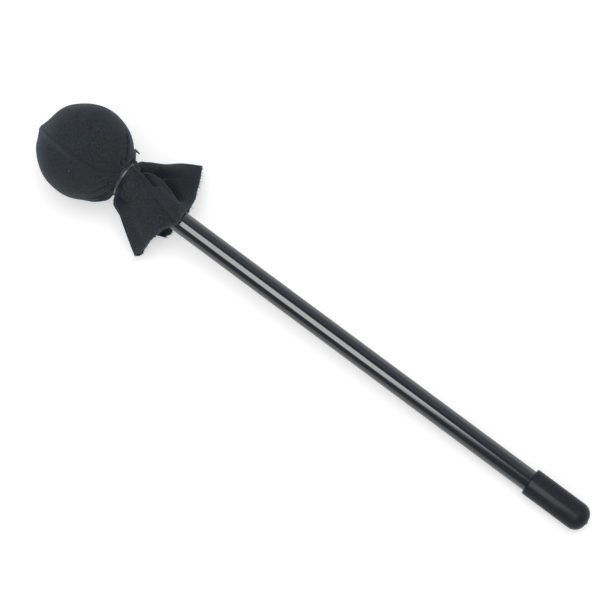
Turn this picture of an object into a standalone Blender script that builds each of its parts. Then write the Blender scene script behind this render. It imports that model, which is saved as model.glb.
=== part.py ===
"""A percussion mallet lying on a table: a cloth-covered ball tied onto a straight tube handle.

Sizes are in metres, Z is up and the table is at zero. The origin is the point of the table under
the ball. The handle runs from there towards +X and slopes down until its cap meets the table.
A station is a distance along the handle's axis, counted from the centre of the ball.
The +Y side is called the far side and the -Y side the near side. Angles round the axis are
counted from straight up towards the near side.
"""

import math

import bmesh
import bpy
from mathutils import Matrix, Vector

# Handle tube
TUBE_DIAMETER = 0.0127
TUBE_WALL = 0.0016
TUBE_LENGTH = 0.3556
TUBE_CHAMFER = 0.0003

# Ball under the cover
BALL_DIAMETER = 0.0508
BORE_DEPTH = 0.0423
PRESSED_RIM_RADIUS = 0.0162
PRESSED_RISE = 0.0006

# Butt cap
CAP_LENGTH = 0.0381
CAP_WALL = 0.0014
CAP_END_WALL = 0.0018
CAP_DOME_HEIGHT = 0.0070
CAP_NUB_RADIUS = 0.0006
CAP_NUB_HEIGHT = 0.0003

# Cloth cover: two panels, sewn together over the crown and open at the hem
CLOTH = 0.0012
BALL_SEAM_ANGLE = math.radians(27)
NECK_SEAM_ANGLE = math.radians(-32)
SEAM_THREAD_DIAMETER = 0.0004
RIDGE_AT_CROWN = math.radians(23)
RIDGE_AT_SIDE = math.radians(5)
RIDGE_REACH = math.radians(50)
PLEATS = 12
PLEAT_HEIGHT = 0.0009
GATHER_HEIGHT = 0.0004
GATHER_START = 0.70
TWIST_AT_RIM = 0.15
TWIST_AT_NECK = 0.65
SKIRT_LENGTH = 0.0390
SKIRT_FLARE = 0.62
FOLD_TURN = 0.90
FOLD_SPREAD = 0.05
FOLD_BELLY = 0.0045
REST_CUT = 0.0005

# Hem of each panel from the top seam to the bottom seam. A point has its y and z about the
# handle's axis and how much shorter than the skirt's length the cloth is there.
HEM_NEAR = (
    (-0.0042, 0.0076, 0.0009),
    (-0.0107, 0.0056, 0.0046),
    (-0.0173, 0.0008, 0.0060),
    (-0.0214, -0.0040, 0.0058),
    (-0.0260, -0.0106, 0.0041),
    (-0.0283, -0.0144, 0.0030),
    (-0.0266, -0.0159, 0.0028),
    (-0.0219, -0.0134, 0.0048),
    (-0.0180, -0.0098, 0.0072),
    (-0.0138, -0.0098, 0.0078),
    (-0.0110, -0.0132, 0.0048),
    (-0.0080, -0.0140, 0.0035),
    (-0.0050, -0.0115, 0.0034),
    (-0.0010, -0.0092, 0.0035),
)
HEM_FAR = (
    (-0.0042, 0.0076, 0.0009),
    (0.0010, 0.0082, 0.0011),
    (0.0065, 0.0058, 0.0015),
    (0.0115, 0.0010, 0.0021),
    (0.0170, -0.0020, 0.0026),
    (0.0258, -0.0060, 0.0025),
    (0.0307, -0.0090, 0.0020),
    (0.0350, -0.0124, 0.0008),
    (0.0328, -0.0146, 0.0006),
    (0.0244, -0.0120, 0.0034),
    (0.0185, -0.0120, 0.0040),
    (0.0135, -0.0142, 0.0035),
    (0.0085, -0.0130, 0.0037),
    (0.0040, -0.0102, 0.0034),
    (-0.0010, -0.0092, 0.0035),
)

# Cable tie round the neck
TIE_BEYOND_RIM = 0.0061
TIE_TURN = math.radians(4)
TIE_LEAN = math.radians(1)
STRAP_WIDTH = 0.0026
STRAP_THICKNESS = 0.0011
STRAP_CHAMFER = 0.0002
TIE_HEAD_LENGTH = 0.0036
TIE_HEAD_WIDTH = 0.0046
TIE_HEAD_HEIGHT = 0.0036
TIE_HEAD_EDGE = 0.0005
TIE_TAIL_LENGTH = 0.0076
TIE_TAIL_ANGLE = math.radians(123)
TIE_TAIL_SLANT = 0.0009

# Clearances
SEAT_GAP = 0.0003
COVER_EASE = 0.0004

# Fineness of the round shapes
TURN_STEPS = 32
BALL_RINGS = 14
DOME_STEPS = 6
LIP_STEPS = 3
PANEL_COLUMNS = 24
CROWN_ROWS = 12
SHOULDER_SHARES = (0.35, 0.7)
SKIRT_ROWS = 8
SPLINE_STEPS = 12

# What follows from the sizes above
TUBE_RADIUS = TUBE_DIAMETER / 2
BALL_RADIUS = BALL_DIAMETER / 2
BORE_RADIUS = TUBE_RADIUS + SEAT_GAP
BORE_FLOOR = BALL_RADIUS - BORE_DEPTH
TUBE_HEAD_END = BORE_FLOOR + SEAT_GAP
TUBE_BUTT_END = TUBE_HEAD_END + TUBE_LENGTH
PRESSED_ANGLE = math.asin(PRESSED_RIM_RADIUS / BALL_RADIUS)
CAP_BORE_RADIUS = TUBE_RADIUS + SEAT_GAP
CAP_RADIUS = CAP_BORE_RADIUS + CAP_WALL
CAP_GRIP = CAP_LENGTH - CAP_DOME_HEIGHT
COVER_RADIUS = BALL_RADIUS + COVER_EASE + CLOTH / 2
RIM_STATION = COVER_RADIUS * math.cos(PRESSED_ANGLE)
TIE_STATION = RIM_STATION + TIE_BEYOND_RIM
HEAD_RADIUS = COVER_RADIUS + CLOTH / 2
NECK_RADIUS = TUBE_RADIUS + SEAT_GAP + CLOTH / 2 + PLEAT_HEIGHT / 2
STRAP_INNER_RADIUS = NECK_RADIUS + PLEAT_HEIGHT / 2 + CLOTH / 2 + SEAT_GAP
STRAP_OUTER_RADIUS = STRAP_INNER_RADIUS + STRAP_THICKNESS
SEAM_WIDTH = SEAM_THREAD_DIAMETER + 2 * SEAT_GAP
BALL_HEIGHT = HEAD_RADIUS - REST_CUT
SLOPE = math.asin((BALL_HEIGHT - CAP_RADIUS) / TUBE_BUTT_END)

PARTS = "percussion_mallet"
CUTTERS = "cutters"


def clear_scene():
    """Removes every object, so that the model starts from nothing."""
    for thing in list(bpy.data.objects):
        bpy.data.objects.remove(thing, do_unlink=True)


def new_collection(name):
    """A collection of its own in the scene."""
    group = bpy.data.collections.new(name)
    bpy.context.scene.collection.children.link(group)
    return group


def make_material(name, colour, roughness, metallic=0.0):
    """A plain Principled material."""
    material = bpy.data.materials.new(name)
    material.use_nodes = True
    shader = material.node_tree.nodes["Principled BSDF"]
    shader.inputs["Base Color"].default_value = (*colour, 1.0)
    shader.inputs["Roughness"].default_value = roughness
    shader.inputs["Metallic"].default_value = metallic
    return material


def add_object(name, data, group, parent, material=None):
    """Puts mesh or curve data in the scene under a parent."""
    body = bpy.data.objects.new(name, data)
    group.objects.link(body)
    body.parent = parent
    if material:
        data.materials.append(material)
    return body


def add_empty(name, group, parent=None, location=(0, 0, 0), rotation=(0, 0, 0)):
    """An empty that carries other objects."""
    empty = add_object(name, None, group, parent)
    empty.location = location
    empty.rotation_euler = rotation
    return empty


def make_cutter(body):
    """Marks an object as one that only shapes others."""
    body.hide_render = True
    body.display_type = "WIRE"
    return body


def turned(name, outline, closed, group, parent, material):
    """A solid turned about the parent's X axis from (radius, station) points.

    The outline runs down its outer side, from the high station to the low one.
    """
    count = len(outline)
    edges = [(i, (i + 1) % count) for i in range(count if closed else count - 1)]
    mesh = bpy.data.meshes.new(name)
    mesh.from_pydata([(radius, 0.0, station) for radius, station in outline], edges, [])
    body = add_object(name, mesh, group, parent, material)
    body.rotation_euler = (0, math.pi / 2, 0)
    screw = body.modifiers.new("Turn", "SCREW")
    screw.angle = math.tau
    screw.steps = TURN_STEPS
    screw.render_steps = TURN_STEPS
    screw.use_merge_vertices = True
    screw.merge_threshold = 0.00001
    screw.use_smooth_shade = True
    return body


def add_box(name, size, centre, group, parent, turn=0.0):
    """A box of a given size, turned about its parent's Z axis."""
    box = bmesh.new()
    bmesh.ops.create_cube(box, size=1.0, matrix=Matrix.Diagonal((*size, 1.0)))
    mesh = bpy.data.meshes.new(name)
    box.to_mesh(mesh)
    box.free()
    body = add_object(name, mesh, group, parent)
    body.location = centre
    body.rotation_euler = (0, 0, turn)
    return body


def add_boolean(body, other, operation):
    """A Boolean modifier with the exact solver."""
    boolean = body.modifiers.new(operation.title(), "BOOLEAN")
    boolean.operation = operation
    boolean.solver = "EXACT"
    boolean.object = other


def smooth(share):
    """A share between 0 and 1 that starts and ends gently."""
    share = min(max(share, 0.0), 1.0)
    return share * share * (3.0 - 2.0 * share)


def mix(first, second, share):
    """A value part of the way from the first to the second."""
    return first + (second - first) * share


def arc(centre, radii, start, end, steps):
    """(radius, station) points along an elliptical arc; angles count from the radial direction."""
    points = []
    for i in range(steps + 1):
        angle = mix(start, end, i / steps)
        points.append(
            (centre[0] + radii[0] * math.cos(angle), centre[1] + radii[1] * math.sin(angle))
        )
    return points


def make_tube(group, parent, material):
    """The straight handle tube, with its cut ends chamfered outside."""
    inner = TUBE_RADIUS - TUBE_WALL
    edge = TUBE_RADIUS - TUBE_CHAMFER
    outline = [
        (edge, TUBE_BUTT_END),
        (TUBE_RADIUS, TUBE_BUTT_END - TUBE_CHAMFER),
        (TUBE_RADIUS, TUBE_HEAD_END + TUBE_CHAMFER),
        (edge, TUBE_HEAD_END),
        (inner, TUBE_HEAD_END),
        (inner, TUBE_BUTT_END),
    ]
    turned("handle_tube", outline, True, group, parent, material)


def make_ball(group, parent, material):
    """The ball: bored for the handle, and pressed to a cone round it where the cover is tied."""
    rim = math.pi / 2 - PRESSED_ANGLE
    mouth = BALL_RADIUS * math.cos(PRESSED_ANGLE) + PRESSED_RISE
    outline = [(0.0, BORE_FLOOR), (BORE_RADIUS, BORE_FLOOR), (BORE_RADIUS, mouth)]
    outline += arc((0.0, 0.0), (BALL_RADIUS, BALL_RADIUS), rim, -math.pi / 2, BALL_RINGS)
    outline[-1] = (0.0, -BALL_RADIUS)
    turned("core_ball", outline, False, group, parent, material)


def make_cap(group, parent, material):
    """The push-on cap, with a domed end, an even wall and a rounded lip.

    Its origin is at the handle's butt end, and it pulls off along +X.
    """
    tip = CAP_DOME_HEIGHT
    lip = CAP_WALL / 2
    mouth = (CAP_BORE_RADIUS + lip, lip - CAP_GRIP)
    dome = arc((0.0, 0.0), (CAP_RADIUS, tip), math.pi / 2, 0.0, DOME_STEPS)
    hollow = arc((0.0, 0.0), (CAP_BORE_RADIUS, tip - CAP_END_WALL), 0.0, math.pi / 2, DOME_STEPS)
    outline = [(0.0, tip + CAP_NUB_HEIGHT), (CAP_NUB_RADIUS, tip + CAP_NUB_HEIGHT)]
    outline += [(CAP_NUB_RADIUS, tip)] + dome[1:]
    outline += arc(mouth, (lip, lip), 0.0, -math.pi, 2 * LIP_STEPS)
    outline += hollow[:-1] + [(0.0, tip - CAP_END_WALL)]
    body = turned("butt_cap", outline, False, group, parent, material)
    body.location = (TUBE_BUTT_END, 0, 0)


def spline(points):
    """A dense smooth line through hand-placed points."""
    padded = [points[0], *points, points[-1]]
    line = []
    for before, start, end, after in zip(padded, padded[1:], padded[2:], padded[3:]):
        for i in range(SPLINE_STEPS):
            t = i / SPLINE_STEPS
            line.append(
                tuple(
                    0.5
                    * (
                        2 * b
                        + (c - a) * t
                        + (2 * a - 5 * b + 4 * c - d) * t**2
                        + (3 * b - a - 3 * c + d) * t**3
                    )
                    for a, b, c, d in zip(before, start, end, after)
                )
            )
    line.append(tuple(points[-1]))
    return line


class Line:
    """A line that can be read at any share of its length."""

    def __init__(self, points):
        self.points = [Vector(p) for p in points]
        self.reached = [0.0]
        for start, end in zip(self.points, self.points[1:]):
            self.reached.append(self.reached[-1] + (end - start).length)
        self.length = self.reached[-1]

    def at(self, share):
        """The point at a share of the length."""
        goal = min(max(share, 0.0), 1.0) * self.length
        for i, reached in enumerate(self.reached[1:]):
            if reached >= goal:
                step = reached - self.reached[i]
                return self.points[i].lerp(self.points[i + 1], (goal - self.reached[i]) / step)
        return self.points[-1]


class Cover:
    """The cover's middle surface, as rows from the crown down to the hem.

    Each row gives the point at a turn: 0 is the top seam, a half is the bottom seam, and the
    near panel lies between them. The far panel has the turns from a half to 1.
    """

    def __init__(self):
        self.hem_near = Line(spline(HEM_NEAR))
        self.hem_far = Line(spline(HEM_FAR))
        half_neck = STRAP_WIDTH / 2 + CLOTH + 2 * SEAT_GAP
        neck_start = TIE_STATION - half_neck
        rim_radius = COVER_RADIUS * math.sin(PRESSED_ANGLE)
        self.rows = [self.ball_row((i + 1) / CROWN_ROWS) for i in range(CROWN_ROWS)]
        for share in SHOULDER_SHARES:
            station = mix(RIM_STATION, neck_start, share)
            radius = mix(rim_radius, NECK_RADIUS, share)
            twist = mix(TWIST_AT_RIM, TWIST_AT_NECK, share)
            self.rows.append(self.neck_row(station, radius, share, twist))
        self.rows.append(self.neck_row(neck_start, NECK_RADIUS, 1.0, TWIST_AT_NECK))
        self.throat = self.neck_row(TIE_STATION + half_neck, NECK_RADIUS, 1.0, 1.0)
        self.rows.append(self.throat)
        self.rows += [self.skirt_row((i + 1) / SKIRT_ROWS) for i in range(SKIRT_ROWS)]

    @staticmethod
    def pleat(turn):
        """The pleats' height at a turn, from 0 in a valley to 1 on a crest."""
        return 0.5 + 0.5 * math.cos(math.tau * PLEATS * turn)

    @staticmethod
    def seam_angle(twist):
        """The top seam's angle where the cloth has taken a share of the neck's twist."""
        return mix(BALL_SEAM_ANGLE, NECK_SEAM_ANGLE, twist)

    def crown(self, side):
        """The crown's point, moved off the seam to one side by half the seam's width."""
        radius = COVER_RADIUS / math.cos(RIDGE_AT_CROWN)
        off = side * SEAM_WIDTH / 2
        across = BALL_SEAM_ANGLE + math.pi / 2
        return Vector((-radius, -math.sin(across) * off, math.cos(across) * off))

    def ball_row(self, share):
        """A row round the ball, part of the way from the crown to the pressed rim."""
        polar = (math.pi - PRESSED_ANGLE) * share
        gathered = smooth((share - GATHER_START) / (1.0 - GATHER_START))
        gathers = GATHER_HEIGHT * gathered
        seam = self.seam_angle(TWIST_AT_RIM * gathered)
        ridge = mix(RIDGE_AT_CROWN, RIDGE_AT_SIDE, smooth(polar / RIDGE_REACH))

        def point(turn):
            angle = seam + math.tau * turn
            across = math.asin(abs(math.sin(polar) * math.sin(math.tau * turn)))
            radius = COVER_RADIUS / math.cos(max(0.0, ridge - across))
            radius += gathers * self.pleat(turn)
            ring = radius * math.sin(polar)
            return Vector(
                (-radius * math.cos(polar), -ring * math.sin(angle), ring * math.cos(angle))
            )

        return math.tau * COVER_RADIUS * math.sin(polar), point

    def neck_row(self, station, radius, pleated, twist):
        """A row round the neck, in the tie's leaning plane, with its share of the pleats."""
        seam = self.seam_angle(twist)

        def point(turn):
            angle = seam + math.tau * turn
            reach = radius + pleated * PLEAT_HEIGHT * (self.pleat(turn) - 0.5)
            y = -reach * math.sin(angle)
            z = reach * math.cos(angle)
            lean = (z * math.tan(TIE_LEAN) - y * math.tan(TIE_TURN)) * pleated
            return Vector((station + lean, y, z))

        return math.tau * radius, point

    def hem_point(self, turn):
        """The hem's point at a turn, as (y, z, how much shorter the cloth is)."""
        if turn <= 0.5:
            return self.hem_near.at(2 * turn)
        return self.hem_far.at(2 * (1 - turn))

    def skirt_row(self, share):
        """A row of the hanging skirt, part of the way from the throat to the hem."""
        start = self.throat[1]
        opened = share**SKIRT_FLARE
        hem_length = self.hem_near.length + self.hem_far.length

        def point(turn):
            top = start(turn)
            y, z, shorter = self.hem_point(turn)
            spread = math.hypot(y, z) - math.hypot(top.y, top.z)
            drop = math.sqrt((SKIRT_LENGTH - shorter) ** 2 - spread**2)
            place = Vector((mix(top.y, y, opened), mix(top.z, z, opened)))
            near_fold = math.exp(-(((turn - FOLD_TURN) / FOLD_SPREAD) ** 2))
            place.x += FOLD_BELLY * math.sin(math.pi * share) * near_fold
            if place.length < NECK_RADIUS:
                place *= NECK_RADIUS / place.length
            return Vector((top.x + drop * share, *place))

        return mix(self.throat[0], hem_length, opened), point


def make_panel(name, cover, side, group, parent, material):
    """One panel of the cover, lofted through the rows and given the cloth's thickness.

    The side is 1 for the near panel and -1 for the far one.
    """
    start = 0.0 if side > 0 else 0.5
    cloth = bmesh.new()
    crown = cloth.verts.new(cover.crown(side))
    above = [crown] * (PANEL_COLUMNS + 1)
    for perimeter, point in cover.rows:
        margin = SEAM_WIDTH / 2 / perimeter
        below = []
        for i in range(PANEL_COLUMNS + 1):
            turn = start + mix(margin, 0.5 - margin, i / PANEL_COLUMNS)
            below.append(cloth.verts.new(point(turn)))
        for i in range(PANEL_COLUMNS):
            corners = [above[i], below[i], below[i + 1], above[i + 1]]
            cloth.faces.new(list(dict.fromkeys(corners)))
        above = below
    mesh = bpy.data.meshes.new(name)
    cloth.to_mesh(mesh)
    cloth.free()
    mesh.shade_smooth()
    body = add_object(name, mesh, group, parent, material)
    thickness = body.modifiers.new("Cloth", "SOLIDIFY")
    thickness.thickness = CLOTH
    thickness.offset = 0.0
    thickness.use_even_offset = True
    return body


def make_thread(cover, group, parent, material):
    """The seam's thread, from the top of the hem over the crown to the bottom of the hem."""
    route = [point(0.0) for _, point in reversed(cover.rows)]
    route.append(cover.crown(0.0))
    route += [point(0.5) for _, point in cover.rows]
    curve = bpy.data.curves.new("seam_thread", "CURVE")
    curve.dimensions = "3D"
    curve.bevel_depth = SEAM_THREAD_DIAMETER / 2
    curve.bevel_resolution = 2
    curve.use_fill_caps = True
    run = curve.splines.new("POLY")
    run.points.add(len(route) - 1)
    for knot, place in zip(run.points, route):
        knot.co = (*place, 1.0)
    add_object("seam_thread", curve, group, parent, material)


def make_tie(group, cutters, parent, material):
    """The cable tie: a strap round the neck, its locking head and its clipped tail, as one piece."""
    plane = add_empty(
        "tie_plane", group, parent, (TIE_STATION, 0, 0), (0, TIE_LEAN, TIE_TURN)
    )
    half = STRAP_WIDTH / 2
    inner = STRAP_INNER_RADIUS
    outer = STRAP_OUTER_RADIUS
    outline = [
        (outer - STRAP_CHAMFER, half),
        (outer, half - STRAP_CHAMFER),
        (outer, STRAP_CHAMFER - half),
        (outer - STRAP_CHAMFER, -half),
        (inner, -half),
        (inner, half),
    ]
    strap = turned("cable_tie", outline, True, group, plane, material)
    head_size = (TIE_HEAD_LENGTH, TIE_HEAD_HEIGHT, TIE_HEAD_WIDTH)
    head_centre = (0, inner + TIE_HEAD_HEIGHT / 2, 0)
    head = add_box("tie_head", head_size, head_centre, cutters, plane)
    bevel = head.modifiers.new("Edges", "BEVEL")
    bevel.width = TIE_HEAD_EDGE
    bevel.segments = 2
    tail_size = (TIE_TAIL_LENGTH, STRAP_THICKNESS, STRAP_WIDTH)
    along = Vector((math.cos(TIE_TAIL_ANGLE), math.sin(TIE_TAIL_ANGLE), 0))
    root = Vector((0, inner + TIE_HEAD_HEIGHT - STRAP_THICKNESS / 2, 0))
    tail_centre = root + along * (TIE_TAIL_LENGTH / 2)
    tail = add_box("tie_tail", tail_size, tail_centre, cutters, plane, TIE_TAIL_ANGLE)
    for corner in tail.data.vertices:
        if corner.co.x > 0 and corner.co.y > 0:
            corner.co.x -= TIE_TAIL_SLANT
    for piece in (head, tail):
        add_boolean(strap, make_cutter(piece), "UNION")


def build():
    """Builds the whole mallet."""
    clear_scene()
    group = new_collection(PARTS)
    cutters = new_collection(CUTTERS)
    gloss_black = make_material("gloss_black_tube", (0.012, 0.013, 0.014), 0.12)
    foam = make_material("black_foam", (0.03, 0.03, 0.032), 0.9)
    vinyl = make_material("black_vinyl", (0.014, 0.015, 0.017), 0.38)
    cloth = make_material("black_cloth", (0.022, 0.026, 0.029), 0.92)
    thread = make_material("black_thread", (0.018, 0.02, 0.022), 0.7)
    nylon = make_material("black_nylon", (0.02, 0.022, 0.024), 0.3)

    axis = add_empty("handle_axis", group, None, (0, 0, BALL_HEIGHT), (0, SLOPE, 0))
    cover = Cover()
    make_tube(group, axis, gloss_black)
    make_ball(group, axis, foam)
    near = make_panel("cover_panel_near", cover, 1, group, axis, cloth)
    make_panel("cover_panel_far", cover, -1, group, axis, cloth)
    make_thread(cover, group, axis, thread)
    make_tie(group, cutters, axis, nylon)
    make_cap(group, axis, vinyl)

    cut_size = (HEAD_RADIUS, HEAD_RADIUS, HEAD_RADIUS)
    table = add_box("table_cut", cut_size, (0, 0, -HEAD_RADIUS / 2), cutters, None)
    add_boolean(near, make_cutter(table), "DIFFERENCE")


build()
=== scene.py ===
"""The look of a percussion mallet that lies on a pale table.

A cloth cover of two sewn panels is pulled over a foam ball and tied to the handle with a cable
tie, and its skirt hangs open round the handle. The handle is a gloss black tube with a push-on
vinyl cap at its butt end.

Sizes are in metres. A place on the mallet is given in the handle's own frame: the station along
the handle from the ball's centre towards the cap, then across to the far side, then up.
Angles round the handle are counted from straight up towards the near side.
"""

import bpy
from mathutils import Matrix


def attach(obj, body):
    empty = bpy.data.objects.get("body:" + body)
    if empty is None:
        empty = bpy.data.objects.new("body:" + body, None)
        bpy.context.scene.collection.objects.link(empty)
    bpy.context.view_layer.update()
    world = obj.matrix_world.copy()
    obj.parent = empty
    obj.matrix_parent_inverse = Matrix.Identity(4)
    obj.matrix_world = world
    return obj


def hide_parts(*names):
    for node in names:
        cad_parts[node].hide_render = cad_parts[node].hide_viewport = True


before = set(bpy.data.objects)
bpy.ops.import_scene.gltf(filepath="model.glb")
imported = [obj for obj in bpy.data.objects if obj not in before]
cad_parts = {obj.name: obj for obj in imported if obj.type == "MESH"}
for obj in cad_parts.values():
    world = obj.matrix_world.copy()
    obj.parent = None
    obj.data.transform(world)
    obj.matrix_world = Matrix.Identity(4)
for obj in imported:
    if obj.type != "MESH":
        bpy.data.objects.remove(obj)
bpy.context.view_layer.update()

import logging
import math
from collections.abc import Callable, Sequence
from dataclasses import dataclass, replace
from enum import Enum

import bmesh
import bpy
import numpy as np
from mathutils import Euler, Matrix, Vector

log = logging.getLogger("mallet")

Colour = tuple[float, float, float]
Point = tuple[float, float, float]
Piece = bpy.types.Object
Array = np.ndarray
Number = "float | Signal"
Test = Callable[[Vector, Vector], bool]

MM = 0.001
WEAVE_MAP = "weave"
RAW_EDGE = "raw_edge"
PAINTED_SHADE = "painted_shade"
RECESS = "recess"
PAINTED_HIGHLIGHT = "lightened"

# How near two places must be to count as one: on a rim, on a flat face, and in a merge
CLOSE = 0.0001
TOUCH = 0.00001
DOUBLED = 0.000002

# How the handle lies: the height of the ball's centre, and the station and radius of the butt
BALL_HEIGHT = 0.0265
BUTT_STATION = 0.339
CAP_RADIUS = 0.00805

# What starts the random draws: of each panel's ragged edge, and of the loose threads
NEAR_SEED, FAR_SEED, FRAY_SEED = 7, 11, 23

# How the cable tie sits: its middle in millimetres along the handle, its turn and its lean
TIE_STATION = 26.43
TIE_TURN = math.radians(4)
TIE_LEAN = math.radians(1)


class Body(Enum):
    """The two bodies of the mallet that move against each other."""

    MALLET = "mallet"
    CAP = "cap"


class Part(Enum):
    """What an edit-mode selection picks."""

    VERTS = "VERT"
    EDGES = "EDGE"
    FACES = "FACE"


class Layer(Enum):
    """The panel of the cover, and its sign in a turn round the handle."""

    NEAR = 1
    FAR = -1


# ---- Shader building ----


class Signal:
    """An output socket of a shader tree, used in sums as a number is."""

    def __init__(self, tree: "Tree", socket: bpy.types.NodeSocket) -> None:
        """Wraps a socket.

        Args:
            tree: The shader tree that holds the socket.
            socket: The output socket.
        """
        self.tree = tree
        self.socket = socket

    def maths(self, operation: str, *values: Number) -> "Signal":
        """A Math node on some values.

        Args:
            operation: The Math node's operation.
            *values: Numbers or signals, in the order of the node's sockets.

        Returns:
            The node's result.
        """
        inputs = dict(enumerate(values))
        return self.tree.node("ShaderNodeMath", {"operation": operation}, inputs)

    def __add__(self, other: Number) -> "Signal":
        """The sum."""
        return self.maths("ADD", self, other)

    def __radd__(self, other: Number) -> "Signal":
        """The sum, with the number first."""
        return self.maths("ADD", other, self)

    def __rsub__(self, other: Number) -> "Signal":
        """The difference from a number."""
        return self.maths("SUBTRACT", other, self)

    def __mul__(self, other: Number) -> "Signal":
        """The product."""
        return self.maths("MULTIPLY", self, other)

    def __rmul__(self, other: Number) -> "Signal":
        """The product, with the number first."""
        return self.maths("MULTIPLY", other, self)

    def sine(self) -> "Signal":
        """The sine of the signal in radians."""
        return self.maths("SINE", self)

    def between(self, low: float, high: float) -> "Signal":
        """A smooth step.

        Args:
            low: Where the step is still 0.
            high: Where it has reached 1. It may be below low, for a step down.

        Returns:
            The step, from 0 to 1.
        """
        settings = {"interpolation_type": "SMOOTHSTEP"}
        inputs = {"Value": self, "From Min": low, "From Max": high}
        return self.tree.node("ShaderNodeMapRange", settings, inputs)


class Tree:
    """The shader tree of one material, lamp or sky."""

    def __init__(self, owner: bpy.types.ID) -> None:
        """Starts an empty tree.

        Args:
            owner: The material, light or world that holds the tree.
        """
        owner.use_nodes = True
        self.tree = owner.node_tree
        self.tree.nodes.clear()

    def node(
        self,
        kind: str,
        settings: dict[str, object] | None = None,
        inputs: dict[int | str, object] | None = None,
        output: int | str = 0,
    ) -> Signal:
        """Adds a node.

        Args:
            kind: The node's type.
            settings: Its properties.
            inputs: Values or signals for its sockets, by name or number.
            output: The output that is wanted, by name or number.

        Returns:
            That output.
        """
        made = self.tree.nodes.new(kind)
        for name, value in (settings or {}).items():
            setattr(made, name, value)
        for name, value in (inputs or {}).items():
            if isinstance(value, Signal):
                self.tree.links.new(value.socket, made.inputs[name])
            else:
                made.inputs[name].default_value = value
        return Signal(self, made.outputs[output] if made.outputs else None)

    def place(self) -> Signal:
        """Object coordinates: the place on the mallet in metres."""
        return self.node("ShaderNodeTexCoord", output="Object")

    def axis(self, vector: Signal, name: str) -> Signal:
        """One part of a vector: X, Y or Z."""
        return self.node("ShaderNodeSeparateXYZ", None, {0: vector}, name)

    def attribute(self, name: str) -> Signal:
        """A value that the mesh holds for each of its points."""
        return self.node("ShaderNodeAttribute", {"attribute_name": name}, None, "Fac")

    def ray(self, kind: str) -> Signal:
        """1 for a ray of a kind, such as Camera or Glossy, and 0 for others."""
        return self.node("ShaderNodeLightPath", None, None, f"Is {kind} Ray")

    def along_handle(self, scale: Point) -> Signal:
        """Object coordinates in the handle's frame, packed closer along, across and up.

        Args:
            scale: How much the pattern is packed along, across and up.

        Returns:
            The turned and scaled place.
        """
        inputs = {"Vector": self.place(), "Rotation": (0.0, -HANDLE.slope, 0.0)}
        turned = self.node("ShaderNodeMapping", None, inputs)
        return self.node("ShaderNodeMapping", None, {"Vector": turned, "Scale": scale})

    def noise(self, vector: Signal, scale: float, detail: float, roughness: float) -> Signal:
        """A noise pattern.

        Args:
            vector: Where the noise is read.
            scale: Its cells to the metre.
            detail: How many finer octaves it has.
            roughness: How strong those are.

        Returns:
            A value about 0.5.
        """
        inputs = {"Vector": vector, "Scale": scale, "Detail": detail, "Roughness": roughness}
        return self.node("ShaderNodeTexNoise", None, inputs, "Fac")

    def cells(self, scale: float) -> Signal:
        """How far a place is from its cell's middle, with so many cells to the metre."""
        inputs = {"Vector": self.place(), "Scale": scale}
        return self.node("ShaderNodeTexVoronoi", {"feature": "F1"}, inputs, "Distance")

    def dust(self, scale: float, size: float, patches: float, bare: float) -> Signal:
        """Specks of dust that lie in patches.

        Args:
            scale: How many specks there could be to the metre.
            size: How large a speck is, as a share of its cell.
            patches: How many patches there are to the metre.
            bare: How much of the surface is free of dust, as a level of noise.

        Returns:
            How much of a speck there is, from 0 to 1.
        """
        keep = self.noise(self.place(), patches, 1.0, 0.5).between(bare, bare + 0.06)
        return self.cells(scale).between(size, size - 0.035) * keep

    def blend(self, share: Number, first: object, second: object) -> Signal:
        """A mix of two colours.

        Args:
            share: How much of the second there is.
            first: A colour or a signal.
            second: A colour or a signal.

        Returns:
            The mixed colour.
        """
        inputs = {0: share, 6: as_rgba(first), 7: as_rgba(second)}
        return self.node("ShaderNodeMix", {"data_type": "RGBA"}, inputs, 2)

    def bump(self, height: Signal, strength: float, distance: float) -> Signal:
        """The normal bent by a height from 0 to 1, where 1 is a distance in metres."""
        inputs = {"Height": height, "Strength": strength, "Distance": distance}
        return self.node("ShaderNodeBump", None, inputs)

    def glow(self, strength: Signal, colour: object = (1.0, 1.0, 1.0)) -> Signal:
        """A surface that gives light."""
        inputs = {"Color": as_rgba(colour), "Strength": strength}
        return self.node("ShaderNodeEmission", None, inputs)

    def close(self, shader: Signal, kind: str = "Material") -> None:
        """Joins a shader to the tree's output, of a material or a world."""
        self.node(f"ShaderNodeOutput{kind}", None, {"Surface": shader})

    def surface(
        self,
        colour: Signal,
        roughness: Number,
        normal: Signal,
        shine: float,
        more: dict[str, object] | None = None,
    ) -> None:
        """The Principled shader, joined to the material's output.

        Args:
            colour: The base colour.
            roughness: The roughness.
            normal: The bent normal.
            shine: The specular level.
            more: Values for other sockets.
        """
        inputs = {
            "Base Color": colour,
            "Roughness": roughness,
            "Normal": normal,
            "Specular IOR Level": shine,
            **(more or {}),
        }
        self.close(self.node("ShaderNodeBsdfPrincipled", None, inputs))


def as_rgba(colour: object) -> object:
    """A colour with its alpha, or the signal as it is."""
    return colour if isinstance(colour, Signal) else (*colour, 1.0)


# ---- Finishes ----


@dataclass(frozen=True)
class Finish:
    """A finish that a piece can be dressed in."""

    name: str
    colour: Colour
    roughness: float

    def material(self) -> bpy.types.Material:
        """Makes the finish's material, or finds it if it is made already.

        Returns:
            The material.
        """
        found = bpy.data.materials.get(self.name)
        if found is None:
            found = bpy.data.materials.new(self.name)
            self.paint(Tree(found))
        return found

    def paint(self, tree: Tree) -> None:
        """Fills the material's empty tree, each finish in its own way."""
        raise NotImplementedError

    def scaled(self, factor: float) -> Colour:
        """The finish's colour, lighter or darker by a factor."""
        return tuple(part * factor for part in self.colour)


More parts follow.
